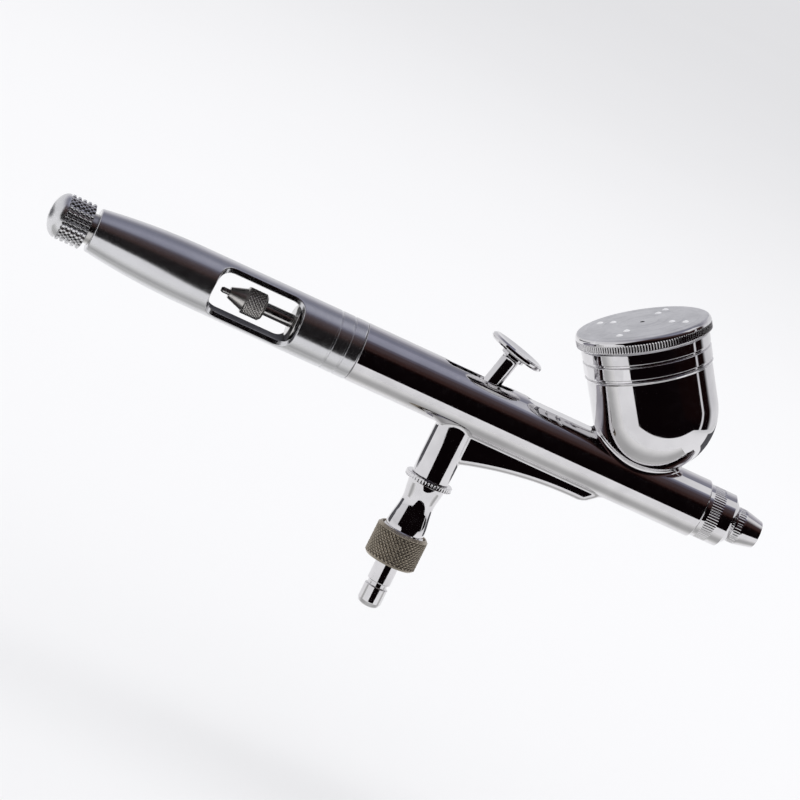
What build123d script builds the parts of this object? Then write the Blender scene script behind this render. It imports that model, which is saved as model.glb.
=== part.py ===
from build123d import *
import os

# Dual-action gravity-feed airbrush. Lengths are in millimetres.
# Every part is modelled with +X along the needle towards the nose, +Z up, X = 0 on the air
# valve's axis and Z = 0 on the needle's axis. main() then lifts the whole gun by
# needle_height, which puts the origin in the middle of the air plug's nipple.

# fits
screwed = 0.02          # radial gap between two parts that screw together
running = 0.05          # radial gap between parts that slide or turn
face_gap = 0.03         # gap between two faces that meet

# barrel
barrel_r = 6.25
barrel_rear = -25.3
barrel_front = 53.0
works_bore_r = 4.5      # holds the trigger, the lever and the spring case
works_bore_end = 13.0
handle_socket_r = 5.2
handle_socket_depth = 5.2
driver_bore_r = 2.3     # lets a screwdriver reach the packing screw
packing_x = 30.0
packing_length = 2.5
packing_r = 1.7
packing_screw_length = 5.0
needle_bore_r = 0.8
chamber_x = 38.0        # paint chamber, from under the cup to the nozzle
chamber_r = 1.3
spigot_r = 4.5
spigot_length = 4.5
nozzle_thread_r = 1.75
nozzle_thread_length = 5.5
duct_r = 0.65           # air duct from the valve to the nose
duct_z = -3.5
duct_rear = 19.0
duct_rise_r = 0.6
duct_foot_z = -11.6

# openings and flats in the barrel's top
slot_rear = -8.1
slot_front = 7.5
slot_width = 4.1
flat_z = 5.6
flat_rear = 10.3
flat_front = 30.0
flat_width = 5.2

# air valve boss and finger rest under the barrel
boss_r = 4.05
boss_bottom = -17.4
boss_well_r = 3.0
boss_well_z = -7.8
piston_bore_r = 2.05
valve_thread_r = 3.0
valve_thread_length = 4.2
rest_width = 4.6
rest_tip_x = 30.3
rest_tip_z = -8.75
rest_rounding = 1.5

# paint cup and lid
cup_lean = 35.0
cup_foot_x = 45.9       # where the cup's axis meets the needle's
cup_r = 12.9
cup_wall = 0.9
cup_centre_h = 18.2     # centre of the round bottom, along the cup's axis
cup_rim_h = 33.4
cup_rim_r = 13.25
cup_groove_depths = (2.9, 6.0)
cup_drain_r = 2.1
lid_r = 14.0
lid_edge_height = 1.7
lid_thickness = 2.8
lid_shoulder_r = 13.0
lid_crown = 0.35        # rise of its top from the shoulder to the middle
lid_plug_length = 2.6
lid_vent_r = 0.5
lid_mark_circles = (6.8, 9.9)
lid_marks = 4           # raised marks on each circle
lid_mark_turn = 53.0
lid_mark_r = 0.55

# nose
nozzle_seal_thickness = 0.3
nozzle_flange_r = 2.3
nozzle_tip_x = 62.8
nozzle_hole_r = 0.15
cap_r = 5.7
cap_cylinder_length = 6.0
cap_front = 63.0
cap_thread_r = 2.9
cap_thread_rear = 60.4
needle_cap_r = 3.8
needle_cap_front = 66.5

# needle and the works behind the trigger
needle_r = 0.625
needle_tip_x = 64.5
needle_taper_x = 48.0
needle_rear = -55.5
guide_r = 1.4
guide_bore_r = 0.68
guide_flange_rear = -10.5
guide_flange_front = -8.9
guide_flange_r = 3.0
guide_rear = -49.0
ear_length = 4.2
ear_thickness = 0.8
spring_case_front = -14.2
spring_case_rear = -40.0
spring_case_wall_x = -38.2
spring_case_r = 4.2
spring_bore_r = 3.2
needle_spring_r = 2.55
needle_spring_wire = 0.5
needle_spring_coils = 17
chuck_front = -45.9
chuck_knurl_length = 4.4
chuck_r = 2.85
chuck_tail = -53.7

# trigger and auxiliary lever
pivot_z = -5.6
trigger_lean = 13.0
trigger_r = 1.85
trigger_foot_r = 1.3    # cross pin that turns in the piston's socket
trigger_foot_width = 2.2
trigger_neck_r = 1.0
trigger_length = 18.8   # from the pivot to the underside of the pad
trigger_slot_low = 3.9
trigger_slot_high = 9.9
trigger_slot_width = 1.7
pad_r = 6.15
pad_edge = 1.2
pad_dish = 0.7
lever_pin_x = -6.5
lever_pin_z = -2.4
lever_pin_r = 0.6
lever_width = 3.5
lever_slot_width = 1.7
lever_nose_x = -1.96
lever_nose_z = 1.7
lever_nose_r = 1.6

# handle and preset screw
handle_rear = -83.8
handle_taper_x = -61.3
handle_end_r = 4.6
handle_bore_r = 5.25
handle_bore_rear = -60.6
handle_grooves = (2.9, 5.8)
window_front = -41.8
window_rear = -54.6
window_flat_y = 3.15
window_cutter_r = 3.1
preset_r = 3.2
preset_rod_r = 2.2
preset_rod_front = -58.5
preset_ring_x = -68.0
knob_front = -84.9
knob_r = 4.8
knob_rings = 5
knob_ring_pitch = 1.12
knob_flutes = 20
knob_rear = -93.2
knob_socket_depth = 3.0
knob_socket_r = 1.6

# air valve, downwards from the boss
flange_r = 5.1
flange_z = -18.6
shoulder_r = 3.95
waist_z = -23.0
waist_r = 3.45
bell_z = -29.3
bell_r = 4.2
hose_thread_r = 4.75
hose_thread_bottom = -34.0
valve_chamber_r = 2.1
valve_seat_z = -20.4
guide_screw_top = -31.0
guide_screw_r = 3.0
piston_top = -5.8
piston_bottom = -13.6
piston_r = 2.0
piston_stub_r = 1.3
piston_flange_z = -10.7
piston_ring_z = -9.4
shaft_r = 0.9
shaft_head_z = -21.6
valve_spring_r = 1.65
valve_spring_wire = 0.35
valve_spring_coils = 7

# air plug
collar_r = 5.55
collar_top = -29.4
collar_bottom = -36.7
nipple_r = 2.5
nipple_top = -37.0
nipple_groove_r = 2.1
nipple_groove_z = -41.3
nipple_groove_width = 1.0
nipple_end = -45.7      # where its straight wall ends and the rounded tip starts
nipple_tip = -46.7
nipple_bore_r = 1.3
nipple_flange_r = 4.6
nipple_hub_r = 2.95
washer_thickness = 0.8

needle_height = -(nipple_top + nipple_end) / 2


def turned(stations):
    """Solid of revolution about X from (x, radius) stations, rear or front end first."""
    first, last = stations[0][0], stations[-1][0]
    outline = Polyline((first, 0), *stations, (last, 0), close=True)
    return revolve(make_face(outline), Axis.X)


def turned_z(stations):
    """Solid of revolution about Z from (z, radius) stations."""
    first, last = stations[0][0], stations[-1][0]
    points = [(0, first)] + [(r, z) for z, r in stations] + [(0, last)]
    return revolve(Plane.XZ * make_face(Polyline(*points, close=True)), Axis.Z)


def rod(x0, x1, radius):
    """Plain cylinder about X between two stations."""
    return turned([(x0, radius), (x1, radius)])


def rod_z(z0, z1, radius):
    """Plain cylinder about Z between two heights."""
    return turned_z([(z0, radius), (z1, radius)])


def seal_ring(middle, ring_r, wire_r, about_x=True):
    """Round-section seal ring centred on X or Z."""
    ring = Torus(ring_r, wire_r)
    if about_x:
        return Pos(middle, 0, 0) * Rot(0, 90, 0) * ring
    return Pos(0, 0, middle) * ring


def coil(length, coil_r, wire_r, turns):
    """Open coil spring standing on Z = 0, with its wire's ends inside the length."""
    rise = length - 2 * wire_r
    path = Helix(pitch=rise / turns, height=rise, radius=coil_r)
    section = Plane(origin=path @ 0, z_dir=path % 0) * Circle(wire_r)
    return Pos(0, 0, wire_r) * sweep(section, path=path, is_frenet=True)


def cup_place():
    """The cup's own frame: Z along its leaning axis, origin on the needle's axis."""
    return Pos(cup_foot_x, 0, 0) * Rot(0, -cup_lean, 0)


def trigger_place():
    """The trigger's own frame: Z up its stem, origin on its pivot."""
    return Pos(0, 0, pivot_z) * Rot(0, trigger_lean, 0)


# ---------------------------------------------------------------- body

def finger_rest():
    """Web under the barrel that joins the valve boss, with a rounded lower edge."""
    start = (1.0, -13.3)
    low = ThreePointArc(start, (12.5, -10.2), (rest_tip_x, rest_tip_z))
    front = Line((rest_tip_x, rest_tip_z), (rest_tip_x + 4.2, -5.2))
    top = Line((rest_tip_x + 4.2, -5.2), (1.0, -5.2))
    back = Line((1.0, -5.2), start)
    face = Plane.XZ * make_face([low, front, top, back])
    web = extrude(face, amount=rest_width / 2, both=True)
    low_edges = [e for e in web.edges() if e.length > 15 and e.center().Z < -7]
    return fillet(low_edges, rest_rounding)


def needle_way():
    """The stepped bore along the needle's axis, rear to front."""
    packing_end = packing_x + packing_length
    thread_start = barrel_front + spigot_length - nozzle_thread_length
    return turned([
        (barrel_rear - 1, handle_socket_r),
        (barrel_rear + handle_socket_depth, handle_socket_r),
        (barrel_rear + handle_socket_depth, works_bore_r),
        (works_bore_end, works_bore_r),
        (works_bore_end, driver_bore_r),
        (packing_x, driver_bore_r),
        (packing_x, packing_r),
        (packing_end, packing_r),
        (packing_end, needle_bore_r),
        (chamber_x, needle_bore_r),
        (chamber_x, chamber_r),
        (thread_start, chamber_r),
        (thread_start, nozzle_thread_r),
        (barrel_front + spigot_length + 1, nozzle_thread_r),
    ])


def air_duct():
    """Drilling from the valve up through the finger rest, then forward to the nose."""
    along = Pos(0, 0, duct_z) * rod(duct_rear, barrel_front + spigot_length + 1, duct_r)
    low = Vector(0.5, 0, duct_foot_z)
    path = Vector(duct_rear + duct_r, 0, duct_z) - low
    rise = Solid.make_cylinder(duct_rise_r, path.length, Plane(low, z_dir=path))
    return along, rise


def body_cuts():
    """The trigger's slot, the finger flat and the cup's seat."""
    middle = (slot_rear + slot_front) / 2
    slot = Pos(middle, 0, 0) * extrude(SlotOverall(slot_front - slot_rear, slot_width), 10)
    middle = (flat_rear + flat_front) / 2
    flat = Pos(middle, 0, flat_z) * extrude(SlotOverall(flat_front - flat_rear, flat_width), 5)
    seat = cup_place() * Pos(0, 0, cup_centre_h) * Sphere(cup_r + face_gap)
    drain = cup_place() * rod_z(0, cup_centre_h - cup_r + 2, cup_drain_r)
    return slot + flat + seat + drain


def valve_bores():
    """The stepped hole down through the valve boss."""
    well = rod_z(boss_well_z, -3.0, boss_well_r)
    piston_way = rod_z(boss_bottom, boss_well_z + 1, piston_bore_r)
    thread = rod_z(boss_bottom - 1, boss_bottom + valve_thread_length, valve_thread_r)
    return well + piston_way + thread


def make_body():
    barrel = turned([
        (barrel_rear, barrel_r - 0.2),
        (barrel_rear + 0.2, barrel_r),
        (barrel_front - 0.3, barrel_r),
        (barrel_front, barrel_r - 0.3),
        (barrel_front, spigot_r),
        (barrel_front + spigot_length, spigot_r),
    ])
    boss = rod_z(boss_bottom, -2.0, boss_r)
    along, rise = air_duct()
    body = barrel + boss + finger_rest() - needle_way()
    return body - along - rise - valve_bores() - body_cuts()


# ---------------------------------------------------------------- cup and lid

def make_paint_cup():
    inner_r = cup_r - cup_wall
    outside = Pos(0, 0, cup_centre_h) * Sphere(cup_r)
    outside -= rod_z(cup_centre_h, cup_centre_h + 2 * cup_r, cup_r + 1)
    outside += turned_z([
        (cup_centre_h, cup_r),
        (cup_rim_h - 6.8, cup_r),
        (cup_rim_h - 6.4, cup_rim_r - 0.1),
        (cup_rim_h - 0.5, cup_rim_r),
        (cup_rim_h, cup_rim_r - 0.4),
    ])
    for depth in cup_groove_depths:
        z = cup_rim_h - depth
        outside -= rod_z(z - 0.3, z + 0.3, cup_rim_r + 1) - rod_z(z - 0.3, z + 0.3, cup_r - 0.1)
    inside = Pos(0, 0, cup_centre_h) * Sphere(inner_r)
    inside += rod_z(cup_centre_h, cup_rim_h + 1, inner_r)
    drain = rod_z(0, cup_centre_h, cup_drain_r)
    return cup_place() * (outside - inside - drain)


def make_cup_lid():
    plug_r = cup_r - cup_wall - running
    low = cup_rim_h + face_gap
    top = low + lid_thickness
    lid = turned_z([
        (low, lid_r - 0.15),
        (low + 0.2, lid_r),
        (low + lid_edge_height, lid_r),
        (low + lid_edge_height + 0.5, lid_r - 0.2),
        (top - 0.1, lid_shoulder_r + 0.4),
        (top, lid_shoulder_r),
        (top + lid_crown, lid_vent_r),
    ])
    lid += rod_z(low - lid_plug_length, low, plug_r)
    lid -= rod_z(low - lid_plug_length - 1, low + 0.8, plug_r - 0.8)
    lid -= rod_z(low, top + 1, lid_vent_r)
    for circle_r in lid_mark_circles:
        rise = lid_crown * (lid_shoulder_r - circle_r) / (lid_shoulder_r - lid_vent_r)
        for mark in PolarLocations(circle_r, lid_marks, lid_mark_turn):
            lid += Pos(0, 0, top + rise) * mark * Cylinder(lid_mark_r, 0.5)
    return cup_place() * lid


# ---------------------------------------------------------------- nose

def make_nozzle():
    tip = barrel_front + spigot_length
    seat = tip + nozzle_seal_thickness + face_gap
    nozzle = turned([
        (tip - nozzle_thread_length + face_gap, nozzle_thread_r - screwed),
        (seat, nozzle_thread_r - screwed),
        (seat, nozzle_flange_r),
        (seat + 1.2, nozzle_flange_r),
        (seat + 1.2, 1.5),
        (nozzle_tip_x, 0.35),
    ])
    nozzle -= turned([
        (tip - nozzle_thread_length - 1, 1.1),
        (tip, 0.9),
        (nozzle_tip_x - 0.4, nozzle_hole_r + 0.02),
        (nozzle_tip_x + 1, nozzle_hole_r),
    ])
    wrench_flats = Box(4, 10, 10) - Box(4, 2 * nozzle_flange_r, 2 * nozzle_flange_r - 0.8)
    return nozzle - Pos(seat + 2, 0, 0) * wrench_flats


def make_nozzle_seal():
    start = barrel_front + spigot_length + face_gap / 2
    end = start + nozzle_seal_thickness
    return rod(start, end, nozzle_flange_r) - rod(start - 1, end + 1, nozzle_thread_r + screwed)


def make_nozzle_cap():
    start = barrel_front + face_gap
    cylinder_end = start + cap_cylinder_length
    cap = turned([
        (start, cap_r - 0.2),
        (start + 0.2, cap_r),
        (cylinder_end, cap_r),
        (cap_thread_rear, 4.1),
        (cap_thread_rear, cap_thread_r),
        (cap_front, cap_thread_r),
    ])
    spigot_end = barrel_front + spigot_length + face_gap
    cap -= turned([
        (start - 1, spigot_r + screwed),
        (spigot_end, spigot_r + screwed),
        (spigot_end, 4.0),
        (cylinder_end, 3.4),
        (cap_front - 0.9, 0.75),
        (cap_front + 1, 0.75),
    ])
    return cap


def make_needle_cap():
    start = cap_thread_rear + face_gap
    cap = turned([
        (start, needle_cap_r - 0.2),
        (start + 0.2, needle_cap_r),
        (cap_front - 0.4, needle_cap_r),
        (needle_cap_front, 2.9),
    ])
    cap -= rod(start - 1, cap_front + face_gap, cap_thread_r + running)
    cap -= turned([(cap_front - 1, 1.6), (needle_cap_front + 1, 2.5)])
    return cap


def make_needle():
    return turned([
        (needle_rear, needle_r - 0.25),
        (needle_rear + 0.4, needle_r),
        (needle_taper_x, needle_r),
        (needle_tip_x, 0.03),
    ])


def make_needle_packing():
    end = packing_x + packing_length
    start = packing_x + face_gap
    ring = rod(start, end - face_gap, packing_r - screwed)
    return ring - rod(start - 1, end + 1, needle_r + running)


def make_packing_screw():
    end = packing_x
    start = end - packing_screw_length
    screw = rod(start, end, driver_bore_r - screwed)
    screw -= rod(start - 1, end + 1, needle_r + 0.1)
    driver_slot = Pos(start, 0, 0) * Box(2.0, 10, 0.7)
    return screw - driver_slot


# ---------------------------------------------------------------- trigger

def make_trigger_stem():
    stem = Rot(90, 0, 0) * Cylinder(trigger_foot_r, trigger_foot_width)
    stem += rod_z(0, 3.5, trigger_neck_r)
    stem += turned_z([
        (2.6, trigger_neck_r),
        (3.4, trigger_r),
        (trigger_length - 1.3, trigger_r),
        (trigger_length - 0.5, trigger_r + 0.7),
        (trigger_length, trigger_r + 0.7),
    ])
    stem += rod_z(trigger_length - 0.5, trigger_length + 0.6, 1.2)
    slot_height = trigger_slot_high - trigger_slot_low
    middle = (trigger_slot_low + trigger_slot_high) / 2
    slot = Plane.YZ * Pos(0, middle, 0) * SlotOverall(slot_height, trigger_slot_width, rotation=90)
    stem -= extrude(slot, amount=5, both=True)
    return trigger_place() * stem


def make_trigger_pad():
    low = trigger_length
    pad = turned_z([
        (low, 2.4),
        (low + 0.35, pad_r - 0.25),
        (low + 0.6, pad_r),
        (low + pad_edge + 0.15, pad_r),
        (low + pad_edge + 0.4, pad_r - 0.3),
    ])
    dish_r = pad_r - 0.9
    sphere_r = (dish_r ** 2 + pad_dish ** 2) / (2 * pad_dish)
    top = low + pad_edge + 0.4
    pad -= Pos(0, 0, top - pad_dish + sphere_r) * Sphere(sphere_r)
    pad -= rod_z(low - 1, low + 0.6 + face_gap, 1.2 + screwed)
    return trigger_place() * pad


def make_aux_lever():
    """Rocker between the trigger and the needle's guide, pinned to the guide's ears."""
    nose = Pos(lever_nose_x, lever_nose_z) * Circle(lever_nose_r)
    foot = Pos(lever_pin_x, lever_pin_z) * Circle(1.25)
    side = Plane.XZ * make_hull((nose + foot).edges())
    lever = extrude(side, amount=lever_width / 2, both=True)
    needle_slot = Pos(lever_pin_x / 2, 0, 0.5) * Box(16, lever_slot_width, 3.8)
    pin_hole = Pos(lever_pin_x, 0, lever_pin_z) * Rot(90, 0, 0) * Cylinder(lever_pin_r + running, 10)
    return lever - needle_slot - pin_hole


def ear_outer():
    return lever_width / 2 + running + ear_thickness


def make_lever_pin():
    return Pos(lever_pin_x, 0, lever_pin_z) * Rot(90, 0, 0) * Cylinder(lever_pin_r, 2 * ear_outer())


# ---------------------------------------------------------------- needle works

def make_needle_guide():
    """Tube that carries the needle, with a spring flange and two ears for the lever."""
    guide = rod(guide_rear, guide_flange_front, guide_r)
    guide += rod(guide_flange_rear, guide_flange_front, guide_flange_r)
    ears = Pos(guide_flange_front + ear_length / 2 - 0.5, 0, lever_pin_z)
    ears *= Box(ear_length, 2 * ear_outer(), 2.4)
    ears &= rod(guide_flange_front - 2, guide_flange_front + ear_length, works_bore_r - 0.15)
    gap = Pos(guide_flange_front + ear_length / 2, 0, lever_pin_z)
    gap *= Box(ear_length, lever_width + 2 * running, 4)
    ears -= gap
    guide += ears
    guide -= Pos(lever_pin_x, 0, lever_pin_z) * Rot(90, 0, 0) * Cylinder(lever_pin_r + screwed, 12)
    return guide - rod(guide_rear - 1, guide_flange_front + 1, guide_bore_r)


def make_needle_spring():
    room = guide_flange_rear - spring_case_wall_x
    wire_r = needle_spring_wire / 2
    spring = coil(room - 2 * face_gap, needle_spring_r, wire_r, needle_spring_coils)
    return Pos(spring_case_wall_x + face_gap, 0, 0) * Rot(0, 90, 0) * spring


def make_spring_case():
    thread_rear = barrel_rear + handle_socket_depth + 0.1
    case = turned([
        (spring_case_rear, spring_case_r - 1.0),
        (spring_case_rear + 0.6, spring_case_r),
        (thread_rear, spring_case_r),
        (thread_rear, works_bore_r - screwed),
        (spring_case_front, works_bore_r - screwed),
    ])
    case -= rod(spring_case_wall_x, spring_case_front + 1, spring_bore_r)
    return case - rod(spring_case_rear - 1, spring_case_wall_x + 1, guide_r + running)


def make_chuck_nut():
    knurl_end = chuck_front - chuck_knurl_length
    nut = turned([
        (chuck_tail, 1.2),
        (knurl_end, 2.35),
        (knurl_end, chuck_r - 0.2),
        (knurl_end + 0.2, chuck_r),
        (chuck_front - 0.5, chuck_r),
        (chuck_front, chuck_r - 0.5),
    ])
    nut -= rod(guide_rear - face_gap, chuck_front + 1, guide_r + screwed)
    return nut - rod(chuck_tail - 1, chuck_front, needle_r + screwed)


# ---------------------------------------------------------------- handle

def handle_outline():
    """Outer skin of the handle: a straight front, then a long arc down to the rear end."""
    rear = Vector(handle_rear + 0.4, handle_end_r)
    front_r = barrel_r
    shoulder = Vector(handle_taper_x, front_r)
    skin = TangentArc(shoulder, rear, tangent=(-1, 0))
    lines = [
        Line((barrel_rear - face_gap, 0), (barrel_rear - face_gap, front_r - 0.2)),
        Line((barrel_rear - face_gap, front_r - 0.2), (barrel_rear - face_gap - 0.2, front_r)),
        Line((barrel_rear - face_gap - 0.2, front_r), shoulder),
        skin,
        Line(rear, (handle_rear, handle_end_r - 0.4)),
        Line((handle_rear, handle_end_r - 0.4), (handle_rear, 0)),
        Line((handle_rear, 0), (barrel_rear - face_gap, 0)),
    ]
    return revolve(make_face(lines), Axis.X)


def make_handle():
    handle = handle_outline()
    spigot_front = barrel_rear + handle_socket_depth - 0.3
    handle += rod(barrel_rear - 1, spigot_front, handle_socket_r - screwed)
    handle -= rod(handle_bore_rear, barrel_rear - 4.0, handle_bore_r)
    handle -= rod(barrel_rear - 5.0, spigot_front + 1, spring_case_r + 0.4)
    handle -= rod(handle_rear - 1, handle_bore_rear + 1, preset_r + running)
    for depth in handle_grooves:
        x = barrel_rear - depth
        handle -= rod(x - 0.2, x + 0.2, barrel_r + 1) - rod(x - 0.3, x + 0.3, barrel_r - 0.25)
    length = window_front - window_rear + 2 * window_cutter_r
    cutter = extrude(SlotOverall(length, 2 * window_cutter_r), amount=10, both=True)
    middle = (window_front + window_rear) / 2
    for side in (-1, 1):
        handle -= Pos(middle, side * (window_flat_y + window_cutter_r), 0) * cutter
    return handle


def make_preset_rod():
    rod_back = preset_rod_front - 5.0
    knob_seat = knob_front - knob_socket_depth
    screw = turned([
        (knob_seat, knob_socket_r),
        (knob_front, knob_socket_r),
        (knob_front, preset_r),
        (preset_ring_x - 0.7, preset_r),
        (preset_ring_x - 0.7, preset_r - 0.7),
        (preset_ring_x + 0.7, preset_r - 0.7),
        (preset_ring_x + 0.7, preset_r),
        (rod_back, preset_r),
        (rod_back, preset_rod_r),
        (preset_rod_front - 0.4, preset_rod_r),
        (preset_rod_front, preset_rod_r - 0.4),
    ])
    return screw - rod(preset_rod_front - 12, preset_rod_front + 1, needle_r + 0.3)


def make_preset_ring():
    return seal_ring(preset_ring_x, preset_r - 0.33, 0.32)


def make_preset_knob():
    """Round-ended thumb knob whose front half carries rings crossed by fine flutes."""
    rings_end = knob_front - knob_rings * knob_ring_pitch
    dome_r = knob_r - 0.1
    dome_length = rings_end - knob_rear
    stations = [(knob_front - face_gap, knob_r - 0.5)]
    for ring in range(knob_rings):
        x = knob_front - face_gap - ring * knob_ring_pitch
        stations += [(x - 0.15, knob_r), (x - 0.75, knob_r), (x - 0.9, knob_r - 0.45)]
        stations += [(x - knob_ring_pitch, knob_r - 0.45)]
    outline = [Line((stations[0][0], 0), stations[0])]
    outline += [Line(a, b) for a, b in zip(stations, stations[1:])]
    last = stations[-1]
    start = Vector(last[0], dome_r)
    middle = Vector(last[0] - 0.71 * dome_length, 0.71 * dome_r)
    end = Vector(last[0] - dome_length, 0)
    dome = Spline(start, middle, end, tangents=((-1, 0), (0, -1)))
    outline += [Line(last, start), dome, Line(end, (stations[0][0], 0))]
    knob = revolve(make_face(outline), Axis.X)
    knob -= rod(knob_front - knob_socket_depth - face_gap, knob_front + 1, knob_socket_r + running)
    flute = Pos((knob_front + rings_end) / 2, 0, knob_r) * Box(knob_front - rings_end + 1, 0.45, 0.6)
    for turn in range(knob_flutes):
        knob -= Rot(turn * 360 / knob_flutes, 0, 0) * flute
    return knob


# ---------------------------------------------------------------- air valve

def make_valve_body():
    top = boss_bottom - face_gap
    body = turned_z([
        (boss_bottom + valve_thread_length - 0.4, valve_thread_r - screwed),
        (top, valve_thread_r - screwed),
        (top, flange_r - 0.15),
        (top - 0.15, flange_r),
        (flange_z + 0.15, flange_r),
        (flange_z, flange_r - 0.15),
        (flange_z, shoulder_r),
        (flange_z - 1.4, shoulder_r - 0.1),
        (waist_z + 1.0, waist_r + 0.07),
        (waist_z - 1.0, waist_r + 0.07),
        (waist_z - 3.0, waist_r + 0.35),
        (waist_z - 5.0, waist_r + 0.65),
        (bell_z + 0.3, bell_r),
        (bell_z, bell_r),
        (bell_z, hose_thread_r - 0.5),
        (bell_z - 0.7, hose_thread_r),
        (hose_thread_bottom + 0.5, hose_thread_r),
        (hose_thread_bottom, hose_thread_r - 0.5),
    ])
    body -= rod_z(hose_thread_bottom - 1, boss_bottom + 10, shaft_r + 0.25)
    body -= rod_z(piston_bottom - 2.8, boss_bottom + 10, piston_stub_r + 0.3)
    body -= rod_z(hose_thread_bottom - 1, valve_seat_z, valve_chamber_r)
    return body - rod_z(hose_thread_bottom - 1, guide_screw_top, guide_screw_r)


def make_valve_body_ring():
    """Seal at the foot of the valve's upper thread, in the corner over the flange."""
    z = boss_bottom + valve_thread_length + 0.02
    ring = rod_z(z - 0.38, z - 0.02, 2.9) - rod_z(z - 1, z + 1, 1.7)
    return ring


def make_valve_piston():
    groove_low = piston_ring_z - 0.6
    groove_top = piston_ring_z + 0.6
    piston = turned_z([
        (piston_bottom, piston_stub_r),
        (piston_flange_z, piston_stub_r),
        (piston_flange_z, piston_r),
        (groove_low, piston_r),
        (groove_low, piston_r - 0.55),
        (groove_top, piston_r - 0.55),
        (groove_top, piston_r),
        (piston_top, piston_r),
    ])
    socket = Rot(90, 0, 0) * Cylinder(trigger_foot_r + running, trigger_foot_width + 2 * running)
    return piston - Pos(0, 0, pivot_z) * socket


def make_piston_ring():
    return seal_ring(piston_ring_z, piston_r - 0.25, 0.28, about_x=False)


def make_valve_shaft():
    return turned_z([
        (shaft_head_z - 1.2, 1.2),
        (shaft_head_z - 1.2, 1.9),
        (shaft_head_z, 1.9),
        (shaft_head_z, shaft_r),
        (piston_bottom - face_gap, shaft_r),
    ])


def make_shaft_ring():
    """Seal ring round the shaft, squeezed between the shaft's head and the seat."""
    wire_r = (valve_seat_z - shaft_head_z) / 2 - 0.02
    middle = (valve_seat_z + shaft_head_z) / 2
    return seal_ring(middle, shaft_r + wire_r + 0.02, wire_r, about_x=False)


def make_valve_spring():
    wire_r = valve_spring_wire / 2
    top = shaft_head_z - 1.2
    room = top - guide_screw_top
    spring = coil(room - 2 * face_gap, valve_spring_r, wire_r, valve_spring_coils)
    return Pos(0, 0, guide_screw_top + face_gap) * spring


def make_valve_guide_screw():
    low = hose_thread_bottom + 0.3
    screw = rod_z(low, guide_screw_top - face_gap, guide_screw_r - screwed)
    screw -= rod_z(low - 1, guide_screw_top + 1, 0.75)
    return screw - Pos(0, 0, low) * Box(10, 0.7, 1.4)


# ---------------------------------------------------------------- air plug

def make_plug_collar():
    """Knurled nut that draws the nipple up against the hose thread."""
    collar = turned_z([
        (collar_top, collar_r - 0.5),
        (collar_top - 0.5, collar_r),
        (collar_bottom + 0.5, collar_r),
        (collar_bottom, collar_r - 0.5),
    ])
    inner_end = collar_bottom + 0.9
    collar -= rod_z(inner_end, collar_top + 1, hose_thread_r + screwed)
    return collar - rod_z(collar_bottom - 1, inner_end + 1, nipple_hub_r + running)


def make_plug_washer():
    top = hose_thread_bottom - face_gap
    washer = rod_z(top - washer_thickness, top, nipple_flange_r)
    return washer - rod_z(top - 2, top + 1, nipple_bore_r + 0.1)


def make_plug_nipple():
    top = hose_thread_bottom - washer_thickness - 2 * face_gap
    flange_low = collar_bottom + 0.9 + face_gap
    groove_low = nipple_groove_z - nipple_groove_width
    nipple = turned_z([
        (top, nipple_flange_r),
        (flange_low, nipple_flange_r),
        (flange_low, nipple_hub_r),
        (nipple_top, nipple_hub_r),
        (nipple_top, nipple_r),
        (nipple_groove_z, nipple_r),
        (nipple_groove_z, nipple_groove_r),
        (groove_low, nipple_groove_r),
        (groove_low, nipple_r),
        (nipple_end, nipple_r),
        (nipple_tip + 0.3, nipple_r - 0.35),
        (nipple_tip, nipple_r - 0.8),
    ])
    return nipple - rod_z(nipple_tip - 1, top + 1, nipple_bore_r)


def main():
    makers = {
        "body": make_body,
        "paint_cup": make_paint_cup,
        "cup_lid": make_cup_lid,
        "nozzle": make_nozzle,
        "nozzle_seal": make_nozzle_seal,
        "nozzle_cap": make_nozzle_cap,
        "needle_cap": make_needle_cap,
        "needle": make_needle,
        "needle_packing": make_needle_packing,
        "packing_screw": make_packing_screw,
        "trigger_stem": make_trigger_stem,
        "trigger_pad": make_trigger_pad,
        "aux_lever": make_aux_lever,
        "lever_pin": make_lever_pin,
        "needle_guide": make_needle_guide,
        "needle_spring": make_needle_spring,
        "spring_case": make_spring_case,
        "chuck_nut": make_chuck_nut,
        "handle": make_handle,
        "preset_rod": make_preset_rod,
        "preset_ring": make_preset_ring,
        "preset_knob": make_preset_knob,
        "valve_body": make_valve_body,
        "valve_body_ring": make_valve_body_ring,
        "valve_piston": make_valve_piston,
        "piston_ring": make_piston_ring,
        "valve_shaft": make_valve_shaft,
        "shaft_ring": make_shaft_ring,
        "valve_spring": make_valve_spring,
        "valve_guide_screw": make_valve_guide_screw,
        "plug_collar": make_plug_collar,
        "plug_washer": make_plug_washer,
        "plug_nipple": make_plug_nipple,
    }
    os.makedirs("parts", exist_ok=True)
    lift = Pos(0, 0, needle_height)
    for node, make in makers.items():
        export_step(lift * make(), f"parts/{node}.step")


main()
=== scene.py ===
import math

import bpy
import numpy as np
from mathutils import Matrix, Vector


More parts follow.
